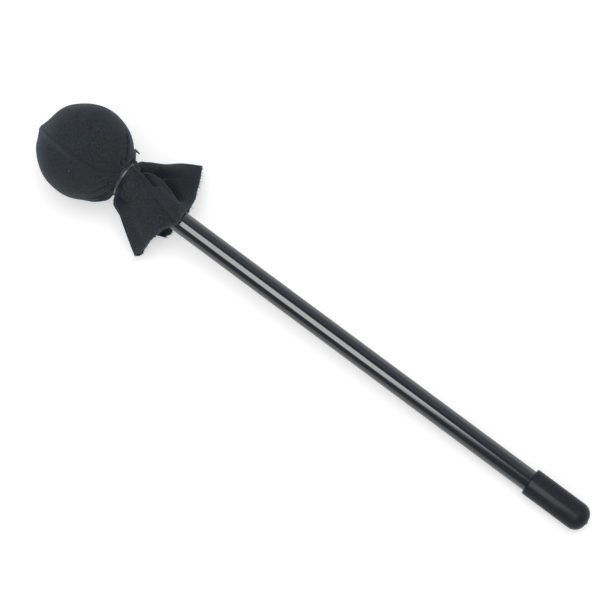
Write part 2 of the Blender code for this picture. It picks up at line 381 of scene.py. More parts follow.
@dataclass(frozen=True)
class BrushedCloth(Finish):
    """Matt black cotton cloth with a short nap, worn a little grey, with shade painted into its folds.
    """

    thread: float = 0.42
    nap: float = 2600.0
    lint: tuple[Point, ...] = ()
    lint_size: float = 0.00038
    lint_colour: Colour = (0.5, 0.51, 0.52)

    def paint(self, tree: Tree) -> None:
        """Weave, nap, paler patches, raw hem, painted shade in the folds and specks of lint.

        Args:
            tree: The empty tree.
        """
        place = tree.place()
        weave_map = tree.node("ShaderNodeUVMap", {"uv_map": WEAVE_MAP})
        across = tree.axis(weave_map, "X")
        along = tree.axis(weave_map, "Y")
        step = math.tau / self.thread
        twill = ((across + along * 0.5) * step).sine() * 0.5 + 0.5
        weft = (along * step).sine() * (across * step).sine() * 0.5 + 0.5
        weave = twill * 0.6 + weft * 0.4
        nap = tree.noise(place, self.nap, 4.0, 0.7)
        fluff = tree.noise(place, 900.0, 3.0, 0.6)
        patches = tree.noise(place, 85.0, 3.0, 0.5)
        raw = tree.attribute(RAW_EDGE)
        tone = nap * 0.56 + fluff * 0.32 + weave * 0.12
        cloth_tone = tree.blend(tone.between(0.36, 0.64), self.scaled(0.45), self.scaled(1.7))
        cloth_tone = tree.blend(patches.between(0.4, 0.75) * 0.35, cloth_tone, self.scaled(1.75))
        cloth_tone = tree.blend(raw * (nap.between(0.4, 0.62) * 0.8 + 0.2), cloth_tone, self.scaled(3.8))
        # Painted shade: darker in the folds, the seam's roll and the pocket by the strap
        cloth_tone = tree.blend(tree.attribute(PAINTED_SHADE) * 0.78, cloth_tone, self.scaled(0.3))
        colour = tree.blend(self.specks(tree, place), cloth_tone, self.lint_colour)
        height = weave * 0.5 + nap * 0.35 + fluff * 0.35 + raw * nap * 0.6
        sheen = {"Sheen Weight": 0.22, "Sheen Roughness": 0.42, "Sheen Tint": (0.62, 0.72, 0.8, 1.0)}
        tree.surface(colour, 0.82 + tone * 0.16, tree.bump(height, 0.55, 0.00022), 0.12, sheen)

    def specks(self, tree: Tree, place: Signal) -> Signal:
        """Light specks: a few at known places and finer dust all over.

        Args:
            tree: The tree being filled.
            place: The object coordinates.

        Returns:
            How much of a speck there is, from 0 to 1.
        """
        found = tree.dust(260.0, 0.075, 190.0, 0.6) * 0.35
        for spot in self.lint:
            inputs = {0: place, 1: tuple(HANDLE.point(*spot))}
            gap = tree.node("ShaderNodeVectorMath", {"operation": "DISTANCE"}, inputs, "Value")
            found = found + gap.between(self.lint_size, self.lint_size * 0.45)
        return found


@dataclass(frozen=True)
class GlossTube(Finish):
    """Gloss black tube with fine scuffs that run along it."""

    def paint(self, tree: Tree) -> None:
        """Gloss with lengthwise scuffs, smudges and a little orange peel.

        Args:
            tree: The empty tree.
        """
        drawn = tree.noise(tree.along_handle((9.0, 900.0, 900.0)), 1.0, 4.0, 0.6)
        smudges = tree.noise(tree.place(), 38.0, 2.0, 0.5).between(0.5, 0.75)
        peel = tree.noise(tree.place(), 420.0, 1.0, 0.4)
        scuffs = drawn.between(0.56, 0.74)
        colour = tree.blend(scuffs * 0.5, self.colour, self.scaled(1.9))
        roughness = self.roughness + scuffs * 0.05 + smudges * 0.035
        normal = tree.bump(peel * 0.5 + drawn * 0.5, 0.05, 0.00005)
        tree.surface(colour, roughness, normal, 0.55, {"Coat Weight": 0.35, "Coat Roughness": 0.05})


@dataclass(frozen=True)
class SatinVinyl(Finish):
    """Dipped black vinyl with a satin skin and a little dust on it."""

    dust_colour: Colour = (0.2, 0.2, 0.2)

    def paint(self, tree: Tree) -> None:
        """A satin skin with flow marks, rubbed patches and dust.

        Args:
            tree: The empty tree.
        """
        flow = tree.noise(tree.along_handle((45.0, 260.0, 260.0)), 1.0, 3.0, 0.5)
        grain = tree.noise(tree.place(), 1500.0, 2.0, 0.5)
        lightened = tree.noise(tree.place(), 120.0, 3.0, 0.6).between(0.52, 0.72)
        specks = tree.dust(210.0, 0.085, 170.0, 0.58)
        skin = tree.blend(lightened * 0.4, self.colour, self.scaled(1.5))
        colour = tree.blend(specks * 0.6, skin, self.dust_colour)
        roughness = self.roughness + lightened * 0.06 + flow * 0.05
        tree.surface(colour, roughness, tree.bump(flow * 0.7 + grain * 0.3, 0.12, 0.00008), 0.1)


@dataclass(frozen=True)
class MouldedNylon(Finish):
    """Black moulded nylon, fine grained, with painted shade in its channels and painted highlights on
    its tooth crests, edge and tail.
    """

    def paint(self, tree: Tree) -> None:
        """A smooth skin with fine grain, dull channels with painted shade, and painted highlights on
        the marked places.

        Args:
            tree: The empty tree.
        """
        grain = tree.noise(tree.place(), 1800.0, 3.0, 0.6)
        marks = tree.noise(tree.place(), 300.0, 2.0, 0.5).between(0.5, 0.7)
        recess = tree.attribute(RECESS)
        skin = tree.blend(marks * 0.5, self.colour, self.scaled(1.7))
        # Painted highlight: lighter on the tooth crests, the glint strip and the tail
        skin = tree.blend(tree.attribute(PAINTED_HIGHLIGHT) * (grain * 0.5 + 0.6), skin, self.scaled(8.0))
        # Painted shade in the sunk channels, darker where they sink further
        colour = tree.blend(recess * 0.7, skin, self.scaled(0.3))
        roughness = self.roughness + grain * 0.06 + marks * 0.05 + recess * 0.5
        tree.surface(colour, roughness, tree.bump(grain, 0.08, 0.00005), 0.5)


@dataclass(frozen=True)
class ClosedFoam(Finish):
    """Dense black foam with fine closed cells."""

    def paint(self, tree: Tree) -> None:
        """Fine cells and mottled colour.

        Args:
            tree: The empty tree.
        """
        cells = tree.cells(1300.0)
        tone = cells * 0.5 + tree.noise(tree.place(), 160.0, 3.0, 0.6) * 0.5
        colour = tree.blend(tone, self.scaled(0.7), self.scaled(1.5))
        tree.surface(colour, self.roughness + cells * 0.05, tree.bump(cells, 0.4, 0.0002), 0.25)


@dataclass(frozen=True)
class SpunThread(Finish):
    """Black sewing thread, twisted from fine plies."""

    def paint(self, tree: Tree) -> None:
        """Fine plies and a dull shine.

        Args:
            tree: The empty tree.
        """
        plies = tree.noise(tree.place(), 5200.0, 2.0, 0.6)
        colour = tree.blend(plies, self.scaled(0.6), self.scaled(1.6))
        roughness = self.roughness + plies * 0.15
        tree.surface(colour, roughness, tree.bump(plies, 0.3, 0.00006), 0.3, {"Sheen Weight": 0.2})


@dataclass(frozen=True)
class WhiteTable(Finish):
    """A white table that shows as plain white and still takes the mallet's shadow."""

    lift: float = 0.42
    shine: float = 0.45

    def paint(self, tree: Tree) -> None:
        """A matt white, lifted a little for the camera and for reflections.

        Args:
            tree: The empty tree.
        """
        inputs = {"Color": as_rgba(self.colour), "Roughness": self.roughness}
        matt = tree.node("ShaderNodeBsdfDiffuse", None, inputs)
        lifted = (tree.ray("Camera") + tree.ray("Transmission")) * self.lift
        glow = tree.glow(lifted + tree.ray("Glossy") * self.shine)
        tree.close(tree.node("ShaderNodeAddShader", None, {0: matt, 1: glow}))


# ---- The handle's frame and shared modelling ----


@dataclass(frozen=True)
class HandleFrame:
    """The handle's frame: its origin is the ball's centre, over the shared origin."""

    height: float = BALL_HEIGHT
    slope: float = math.asin((BALL_HEIGHT - CAP_RADIUS) / BUTT_STATION)

    def matrix(self) -> Matrix:
        """The frame as a matrix."""
        turn = Euler((0.0, self.slope, 0.0)).to_matrix().to_4x4()
        return Matrix.Translation((0.0, 0.0, self.height)) @ turn

    def point(self, station: float, across: float, up: float) -> Vector:
        """A place in the handle's frame, in the shared frame."""
        return self.matrix() @ Vector((station, across, up))

    def cast(self, points: Sequence[Array]) -> list[Vector]:
        """Places in millimetres in the handle's frame, in the shared frame."""
        matrix = self.matrix()
        return [matrix @ Vector(point * MM) for point in points]

    def turned(self, station: float) -> Matrix:
        """A frame at a station whose Z axis runs along the handle towards the cap."""
        along = Euler((0.0, math.pi / 2, 0.0)).to_matrix().to_4x4()
        return self.matrix() @ Matrix.Translation((station, 0.0, 0.0)) @ along


HANDLE = HandleFrame()


def turned_about_z(angle: float) -> Matrix:
    """A turn about Z."""
    return Euler((0.0, 0.0, angle)).to_matrix().to_4x4()


def on_ring(radius: float, *heights: float) -> Test:
    """A test for edges at one of some heights that are at least a radius from the Z axis."""
    return lambda middle, normal: middle.xy.length > radius - CLOSE and any(
        abs(middle.z - height) < CLOSE for height in heights
    )


class Bench:
    """Blender's modelling operators, with one piece selected at a time."""

    @staticmethod
    def clear() -> None:
        """Leaves edit mode and selects nothing."""
        active = bpy.context.view_layer.objects.active
        if active is not None and active.mode != "OBJECT":
            bpy.ops.object.mode_set(mode="OBJECT")
        bpy.ops.object.select_all(action="DESELECT")

    @classmethod
    def take(cls, piece: Piece) -> None:
        """Selects one piece and makes it the active one.

        Args:
            piece: The piece.
        """
        cls.clear()
        piece.select_set(True)
        bpy.context.view_layer.objects.active = piece

    @classmethod
    def cylinder(cls, radius: float, low: float, high: float, sides: int) -> Piece:
        """Adds a closed cylinder along Z, from a low to a high end, with its place in its mesh.

        Args:
            radius: Its radius.
            low: The height of its lower end.
            high: The height of its upper end.
            sides: How many sides it has.

        Returns:
            The cylinder.
        """
        cls.clear()
        bpy.ops.mesh.primitive_cylinder_add(
            vertices=sides, radius=radius, depth=high - low, location=(0.0, 0.0, (high + low) / 2)
        )
        bpy.ops.object.transform_apply(location=True, rotation=True, scale=True)
        return bpy.context.active_object

    @classmethod
    def block(cls, size: Point, centre: Point) -> Piece:
        """Adds a block of a given size about a centre.

        Args:
            size: Its size along each axis.
            centre: Its middle.

        Returns:
            The block.
        """
        cls.clear()
        bpy.ops.mesh.primitive_cube_add(size=1.0, location=centre)
        piece = bpy.context.active_object
        piece.scale = size
        bpy.ops.object.transform_apply(location=True, rotation=True, scale=True)
        return piece

    @classmethod
    def pick(cls, piece: Piece, part: Part, test: Test = lambda *_: True) -> None:
        """Enters edit mode and selects the elements that pass a test.

        Args:
            piece: The piece to work on.
            part: Whether vertices, edges or faces are picked.
            test: Given an element's middle and its normal. Without one, all are picked.
        """
        if bpy.context.view_layer.objects.active != piece or piece.mode != "EDIT":
            cls.take(piece)
            bpy.ops.object.mode_set(mode="EDIT")
        bpy.ops.mesh.select_mode(type=part.value)
        bpy.ops.mesh.select_all(action="DESELECT")
        work = bmesh.from_edit_mesh(piece.data)
        if part is Part.VERTS:
            for vert in work.verts:
                vert.select = test(vert.co, vert.normal)
        elif part is Part.EDGES:
            for edge in work.edges:
                first, second = edge.verts
                edge.select = test((first.co + second.co) / 2, first.normal + second.normal)
        else:
            for face in work.faces:
                face.select = test(face.calc_center_median(), face.normal)
        work.select_flush_mode()
        bmesh.update_edit_mesh(piece.data)

    @staticmethod
    def inset(thickness: float) -> None:
        """Insets the picked faces as one region."""
        bpy.ops.mesh.inset(thickness=thickness, depth=0.0, use_even_offset=True)

    @staticmethod
    def extrude(move: Point) -> None:
        """Extrudes the picked region and moves it."""
        bpy.ops.mesh.extrude_region_move(TRANSFORM_OT_translate={"value": move})

    @staticmethod
    def bevel(width: float, segments: int) -> None:
        """Bevels the picked edges."""
        bpy.ops.mesh.bevel(
            offset=width, offset_type="OFFSET", segments=segments, profile=0.5, affect="EDGES"
        )

    @classmethod
    def modify(cls, piece: Piece, kind: str, **settings: object) -> None:
        """Adds a modifier and applies it.

        Args:
            piece: The piece.
            kind: The modifier's type.
            **settings: Its properties.
        """
        cls.take(piece)
        modifier = piece.modifiers.new(kind.title(), kind)
        for name, value in settings.items():
            setattr(modifier, name, value)
        bpy.ops.object.modifier_apply(modifier=modifier.name)

    @classmethod
    def place(cls, piece: Piece, matrix: Matrix) -> None:
        """Puts a piece in its place and writes the place into its mesh.

        Args:
            piece: The piece.
            matrix: Its place.
        """
        cls.take(piece)
        piece.matrix_world = matrix
        bpy.ops.object.transform_apply(location=True, rotation=True, scale=True)

    @classmethod
    def smooth(cls, piece: Piece, degrees: float) -> None:
        """Shades a piece smooth, with edges sharper than an angle left crisp."""
        cls.take(piece)
        bpy.ops.object.shade_smooth_by_angle(angle=math.radians(degrees))

    @classmethod
    def outward(cls, piece: Piece) -> None:
        """Merges doubled points and turns every face outwards.

        Args:
            piece: The piece.
        """
        cls.take(piece)
        bpy.ops.object.mode_set(mode="EDIT")
        bpy.ops.mesh.select_all(action="SELECT")
        bpy.ops.mesh.remove_doubles(threshold=DOUBLED)
        bpy.ops.mesh.normals_make_consistent(inside=False)
        if bmesh.from_edit_mesh(piece.data).calc_volume(signed=True) < 0.0:
            bpy.ops.mesh.flip_normals()
        bpy.ops.object.mode_set(mode="OBJECT")

    @classmethod
    def settle(cls, piece: Piece, matrix: Matrix, degrees: float = 35.0) -> Piece:
        """Turns a piece's faces outwards, puts it in its place and shades it smooth.

        Args:
            piece: The piece.
            matrix: Its place.
            degrees: How sharp an edge has to be to stay crisp.

        Returns:
            The piece.
        """
        cls.outward(piece)
        cls.place(piece, matrix)
        cls.smooth(piece, degrees)
        return piece

    @classmethod
    def join(cls, pieces: Sequence[Piece]) -> Piece:
        """Joins pieces into the first one.

        Args:
            pieces: The pieces.

        Returns:
            The first one, which now holds all.
        """
        cls.clear()
        for piece in pieces:
            piece.select_set(True)
        bpy.context.view_layer.objects.active = pieces[0]
        bpy.ops.object.join()
        return pieces[0]


def dress(
    piece: Piece,
    name: str,
    finish: Finish,
    body: Body,
    slot: str,
    stands_for: Sequence[str] = (),
) -> Piece:
    """Names a finished piece, gives it its material and hangs it on its body.

    Args:
        piece: The piece, with its place in its mesh.
        name: Its name.
        finish: What it is finished in.
        body: The body that it rides on.
        slot: Not used.
        stands_for: The nodes that it stands for.

    Returns:
        The piece.
    """
    Bench.clear()
    piece.name = name
    piece.data.name = name
    piece.data.materials.clear()
    piece.data.materials.append(finish.material())
    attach(piece, body.value)
    if stands_for:
        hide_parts(*stands_for)
    log.info("%s: %d faces, rides on %s", name, len(piece.data.polygons), body.value)
    return piece


def add_object(name: str, data: bpy.types.ID) -> Piece:
    """A new object in the scene.

    Args:
        name: Its name.
        data: Its mesh, curve, camera or light.

    Returns:
        The object.
    """
    added = bpy.data.objects.new(name, data)
    bpy.context.scene.collection.objects.link(added)
    return added


def new_mesh(name: str, verts: Sequence, faces: Sequence) -> Piece:
    """A mesh object in the scene from points and faces.

    Args:
        name: Its name.
        verts: Its points.
        faces: Its faces, as the numbers of their points.

    Returns:
        The object.
    """
    mesh = bpy.data.meshes.new(name)
    mesh.from_pydata([tuple(v) for v in verts], [], faces)
    return add_object(name, mesh)


def write_values(piece: Piece, name: str, values: Sequence[float]) -> None:
    """Stores a value at each of a piece's points, for its finish."""
    attribute = piece.data.attributes.new(name, "FLOAT", "POINT")
    attribute.data.foreach_set("value", values)


# ---- Handle ----


@dataclass
class HandleTube:
    """The straight tube of the handle, open at both cut ends."""

    radius: float = 0.00635
    wall: float = 0.0016
    head_end: float = -0.0166
    butt_end: float = BUTT_STATION
    chamfer: float = 0.0003
    sides: int = 128
    finish: Finish = GlossTube("gloss_black_tube", (0.0075, 0.0085, 0.0105), 0.075)

    def build(self) -> Piece:
        """Models the tube from a cylinder: inset ends, bridged bore, bevelled rims.

        Returns:
            The tube in its place.
        """
        bore = self.radius - self.wall
        tube = Bench.cylinder(self.radius, self.head_end, self.butt_end, self.sides)
        Bench.pick(tube, Part.FACES, lambda middle, normal: abs(normal.z) > 0.9)
        Bench.inset(self.wall)
        bpy.ops.mesh.delete(type="FACE")
        Bench.pick(tube, Part.EDGES, lambda middle, normal: middle.xy.length < bore + CLOSE)
        bpy.ops.mesh.bridge_edge_loops()
        Bench.pick(tube, Part.EDGES, on_ring(self.radius, self.head_end, self.butt_end))
        Bench.bevel(self.chamfer, 3)
        return Bench.settle(tube, HANDLE.turned(0.0))

    def dress(self) -> None:
        """Builds the tube and hangs it on the mallet."""
        dress(self.build(), "tube", self.finish, Body.MALLET, "tube", ["handle_tube"])


@dataclass
class ButtCap:
    """The push-on cap: a domed end, an even wall, a rounded lip and a small moulding nub."""

    radius: float = CAP_RADIUS
    wall: float = 0.0014
    end_wall: float = 0.0018
    mouth: float = 0.3079
    tip: float = 0.346
    dome: float = 0.0069
    nub_radius: float = 0.0006
    nub_height: float = 0.0003
    lip_share: float = 0.42
    sides: int = 128
    finish: Finish = SatinVinyl("satin_black_vinyl", (0.0195, 0.0215, 0.026), 0.2)

    def build(self) -> Piece:
        """Models the cap from a cylinder: a bored mouth, a bevelled dome and the nub.

        Returns:
            The cap in its place.
        """
        long = self.tip - self.mouth
        bore = self.radius - self.wall
        cap = Bench.cylinder(self.radius, 0.0, long, self.sides)
        Bench.pick(cap, Part.FACES, lambda middle, normal: normal.z < -0.9)
        Bench.inset(self.wall)
        Bench.extrude((0.0, 0.0, long - self.end_wall))
        for least, height, width, segments in (
            (bore, long - self.end_wall, self.dome - self.end_wall, 10),
            (self.radius, long, self.dome, 24),
            (bore, 0.0, self.wall * self.lip_share, 4),
        ):
            Bench.pick(cap, Part.EDGES, on_ring(least, height))
            Bench.bevel(width, segments)
        top = long - TOUCH
        Bench.pick(cap, Part.FACES, lambda middle, normal: normal.z > 0.999 and middle.z > top)
        Bench.inset(self.radius - self.dome - self.nub_radius)
        Bench.extrude((0.0, 0.0, self.nub_height))
        return Bench.settle(cap, HANDLE.turned(self.mouth), 40.0)

    def dress(self) -> None:
        """Builds the cap and hangs it on its own body."""
        dress(self.build(), "vinyl_cap", self.finish, Body.CAP, "cap", ["butt_cap"])


# ---- Head ----


@dataclass
class CoreBall:
    """The foam ball under the cover, bored for the tube and pressed in round it."""

    radius: float = 0.0254
    bore_radius: float = 0.00665
    bore_floor: float = -0.0169
    rim_radius: float = 0.0162
    rise: float = 0.0006
    finish: Finish = ClosedFoam("black_closed_foam", (0.02, 0.021, 0.023), 0.86)

    def build(self) -> Piece:
        """Models the ball from a sphere: its top pressed to a cone, then bored.

        Returns:
            The ball in its place.
        """
        Bench.clear()
        bpy.ops.mesh.primitive_uv_sphere_add(segments=72, ring_count=48, radius=self.radius)
        ball = bpy.context.active_object
        rim = math.sqrt(self.radius**2 - self.rim_radius**2)
        for vert in ball.data.vertices:
            if vert.co.z > rim:
                share = vert.co.xy.length / self.rim_radius
                vert.co.z = rim + self.rise * (1.0 - share)
        drill = Bench.cylinder(self.bore_radius, self.bore_floor, self.radius * 1.2, 64)
        Bench.modify(ball, "BOOLEAN", operation="DIFFERENCE", solver="EXACT", object=drill)
        bpy.data.objects.remove(drill)
        return Bench.settle(ball, HANDLE.turned(0.0))

    def dress(self) -> None:
        """Builds the ball and hangs it on the mallet."""
        ball = dress(self.build(), "foam_ball", self.finish, Body.MALLET, "core", ["core_ball"])


@dataclass(frozen=True)
class Crease:
    """A crease pressed into the cloth along a few points.

    The points are (station, across, up), in millimetres, near the cloth. The crease reaches its
    depth over a width on its near side and one on its far side. Its near side may have a lip, and
    it fades over a share of its length at each end.
    """

    depth: float
    near: float
    far: float
    lip: float
    fade_in: float
    fade_out: float
    points: tuple[Point, ...]

    def press(self, places: Array, normals: Array) -> Array:
        """How far the crease moves each place along its normal.

        Args:
            places: Places on the cloth in the handle's frame, in millimetres.
            normals: The cloth's outward normals there.

        Returns:
            The moves in millimetres, negative inwards.
        """
        line = smooth_line(np.array(self.points), 8)
        best = np.full(len(places), np.inf)
        share = np.zeros(len(places))
        offset = np.zeros(len(places))
        for number, (start, end) in enumerate(zip(line, line[1:])):
            run = end - start
            reach = np.clip((places - start) @ run / (run @ run), 0.0, 1.0)
            gap = places - start - reach[:, None] * run
            away = np.linalg.norm(gap, axis=1)
            nearer = away < best
            best[nearer] = away[nearer]
            share[nearer] = (number + reach[nearer]) / (len(line) - 1)
            sideways = np.cross(run, normals)
            offset[nearer] = (gap * sideways).sum(axis=1)[nearer]
        width = np.where(offset > 0.0, self.near, self.far)
        taper = step_up(share / self.fade_in) * step_up((1.0 - share) / self.fade_out)
        crest = bell(best - 2.0 * self.near, self.near) * (offset > 0.0)
        return self.depth * taper * (self.lip * crest - bell(best, width))


def smooth_line(points: Array, steps: int) -> Array:
    """A smooth line through points, with some steps between each two.

    Args:
        points: The points, in order.
        steps: How many steps lie between two of them.

    Returns:
        The line's points.
    """
    padded = np.vstack([2 * points[0] - points[1], points, 2 * points[-1] - points[-2]])
    t = np.linspace(0.0, 1.0, steps, endpoint=False)[:, None]
    line = []
    for before, start, end, after in zip(padded, padded[1:], padded[2:], padded[3:]):
        bend = 2 * before - 5 * start + 4 * end - after
        twist = 3 * start - before - 3 * end + after
        line.append(0.5 * (2 * start + (end - before) * t + bend * t**2 + twist * t**3))
    return np.vstack([*line, points[-1:]])


def step_up(share: Array | float) -> Array:
    """A gentle step from 0 to 1."""
    share = np.clip(share, 0.0, 1.0)
    return share * share * (3.0 - 2.0 * share)


def late(share: Array | float, start: float) -> Array:
    """A gentle step from 0 where a share has reached its start to 1 at the end."""
    return step_up((share - start) / (1.0 - start))


def bell(gap: Array | float, width: Array | float) -> Array:
    """A smooth lump: 1 where the gap is 0, and soon gone past the width."""
    return np.exp(-((gap / width) ** 2))


def unit(vectors: Array) -> Array:
    """The vectors, each at length 1."""
    return vectors / np.maximum(np.linalg.norm(vectors, axis=-1, keepdims=True), 1e-9)


@dataclass(frozen=True)
class NeckRow:
    """A row of the gathered neck, in millimetres.

    It has an offset from the tie's middle along the handle, a radius, a share of the neck's
    twist, a share of the tie's lean and a share of the pleats' height. The cloth is bunched up
    on its near and far sides, on the near side it slips along the handle, and it dips a little
    way round from the top.
    """

    offset: float
    radius: float
    twist: float
    held: float = 1.0
    pleats: float = 1.0
    near: float = 0.0
    far: float = 0.0
    slip: float = 0.0
    dip: float = 0.0


NECK_ROWS = (
    NeckRow(-3.2, 14.0, 0.24, 0.3, 0.9, 2.0, 1.2, 0.9),
    NeckRow(-2.6, 12.6, 0.3, 0.6, 0.9, 2.4, 1.4, 1.1),
    NeckRow(-2.15, 11.5, 0.36, 0.8, 0.9, 2.5, 1.3, 1.2),
    NeckRow(-1.9, 10.6, 0.42, 1.0, 0.9, 2.1, 0.9, 1.0),
    NeckRow(-1.75, 9.7, 0.47, 1.0, 0.9, 1.2, 0.4, 0.5),
    NeckRow(-1.65, 8.9, 0.52, 1.0, 0.6, 0.3),
    NeckRow(-1.5, 8.35, 0.56, pleats=0.4),
    NeckRow(-1.1, 8.2, 0.62, pleats=0.4),
    NeckRow(-0.4, 8.2, 0.7, pleats=0.4),
    NeckRow(0.4, 8.2, 0.8, pleats=0.4),
    NeckRow(1.1, 8.2, 0.88, pleats=0.4),
    NeckRow(1.5, 8.3, 0.92, pleats=0.4),
    NeckRow(1.7, 8.5, 0.95, 1.0, 0.6, 0.3, 0.3, dip=0.2),
    NeckRow(1.9, 8.9, 0.98, 1.0, 0.9, 0.9, 0.9, dip=0.6),
    NeckRow(2.15, 9.6, 1.0, 1.0, 1.0, 1.6, 1.6, dip=1.2),
    NeckRow(2.5, 10.5, 1.0, 1.0, 1.0, 1.8, 2.0, dip=1.8),
    NeckRow(3.0, 11.2, 1.0, 1.0, 1.0, 1.6, 2.3, dip=1.9),
)

# Each crease: depth, near and far widths, lip, fades at its start and end, then its points
CREASES = tuple(
    Crease(*sizes, points)
    for *sizes, points in (
        # On the ball: the long fold on the far side, a short one by the tie, the near gathers
        (1.0, 0.8, 1.5, 0.3, 0.3, 0.1, (
            (11.6, 20.8, 12.5), (15.4, 18.1, 12.6), (19.3, 13.6, 12.8), (21.7, 9.5, 12.8),
            (23.2, 6.0, 12.0),
        )),
        (0.6, 0.6, 0.8, 0.3, 0.3, 0.1, ((20.2, 6.4, 16.4), (21.9, 4.4, 14.8), (23.3, 2.0, 13.4))),
        (0.5, 0.9, 0.7, 0.3, 0.6, 0.1, ((17.8, -15.2, 13.5), (20.4, -10.9, 13.9), (22.7, -6.1, 13.5))),
        (0.6, 0.9, 0.7, 0.3, 0.6, 0.1, ((17.3, -19.2, 8.2), (21.1, -14.4, 9.6), (23.8, -9.0, 10.4))),
        (0.7, 0.9, 0.7, 0.3, 0.6, 0.1, ((16.9, -21.5, -0.7), (21.9, -17.7, 3.1), (25.8, -12.2, 5.0))),
        # On the skirt: the deep fold, the dip under the far fold, the short pleat, the near fold
        (2.6, 1.5, 3.6, 0.0, 0.08, 0.2, (
            (30.9, 7.9, 8.3), (35.6, 11.3, 5.0), (39.2, 13.4, 2.8), (43.2, 14.2, 1.3),
            (50.0, 13.0, 0.8), (54.3, 11.7, 0.9), (59.3, 9.5, 2.1), (63.0, 8.6, 2.2),
        )),
        (2.3, 2.6, 5.2, 0.0, 0.3, 0.6, (
            (36.9, 12.3, 3.4), (41.5, 15.4, 0.2), (45.8, 18.0, -2.2), (49.5, 20.8, -4.4),
            (53.7, 23.2, -5.8),
        )),
        (1.9, 0.7, 2.4, 0.0, 0.3, 0.2, (
            (31.5, 7.6, 8.8), (33.0, 8.1, 8.1), (36.2, 7.7, 7.8), (39.4, 7.2, 7.7),
            (43.2, 6.0, 7.8), (46.4, 4.9, 7.9),
        )),
        (1.35, 2.8, 0.95, 0.0, 0.1, 0.5, (
            (30.4, -10.0, 6.8), (34.4, -10.4, 5.4), (38.1, -10.6, 4.8), (42.4, -11.1, 4.4),
        )),
        # The hollow where the skirt comes out of the tie
        (1.0, 1.1, 1.1, 0.0, 0.35, 0.35, ((29.3, -2.6, 9.4), (29.6, -5.4, 8.4), (29.8, -8.0, 7.2))),
    )
)

# Painted shade where little light comes into the folds: a point in millimetres, how far round it, how
# dark
PAINTED_SHADE_SPOTS = (
    ((53.0, 22.0, -5.0), 9.5, 0.75),
    ((41.0, 14.5, 1.5), 5.0, 0.15),
    ((50.8, 10.4, 2.8), 3.4, 0.75),
    ((47.0, 11.6, 2.8), 2.8, 0.45),
    ((44.6, 6.9, 7.2), 2.8, 0.45),
    ((37.0, 8.4, 7.6), 3.4, 0.45),
    ((34.0, -12.8, 2.5), 4.6, 0.6),
)

# The hem of each panel from the top seam to the lower one, in millimetres
HEM_START = (67.6, -4.2, 7.6)
HEM_END = (64.8, -3.4, -9.4)
NEAR_HEM = (
    HEM_START, (66.4, -6.1, 7.2), (64.6, -8.9, 6.4), (63.3, -11.2, 5.5), (62.1, -14.0, 3.7),
    (60.9, -17.2, 1.2), (60.0, -20.2, -2.4), (59.8, -22.4, -6.0), (58.6, -24.8, -9.6),
    (57.0, -27.2, -12.6), (56.5, -28.2, -14.6), (57.6, -26.6, -16.0), (58.8, -23.4, -15.2),
    (57.6, -20.2, -11.6), (56.6, -16.8, -8.4), (58.0, -13.2, -8.0), (60.6, -11.4, -10.4),
    (63.4, -9.4, -12.9), (64.7, -6.6, -12.6), HEM_END,
)
FAR_HEM = (
    HEM_START, (68.0, -1.6, 7.6), (67.3, 1.6, 7.3), (67.0, 4.8, 5.9), (66.9, 8.0, 2.6),
    (66.3, 11.6, -0.4), (65.0, 15.8, -2.0), (63.3, 20.4, -3.4), (61.0, 25.4, -6.0),
    (58.0, 30.8, -9.0), (55.4, 34.7, -11.6), (54.3, 36.2, -13.2), (55.4, 34.3, -14.8),
    (57.8, 29.6, -14.0), (60.4, 24.4, -12.0), (62.2, 19.4, -12.2), (63.6, 14.2, -14.2),
    (64.8, 9.0, -13.6), (65.4, 3.6, -10.6), HEM_END,
)

# Lumps round the handle: the middle angle in degrees and how far each way
NEAR_GATHERS = (95.0, 45.0)
NEAR_BUNCH = (102.0, 48.0)
FAR_BUNCH = (-95.0, 42.0)
FULL_CROWN = (-75.0, 60.0)
POCKET = (22.0, 25.0)
NEAR_BULGE = (98.0, 45.0)
# This one moves round by its second number on the way down to the hem
FAR_BULGE = (-92.0, -46.0, 38.0)


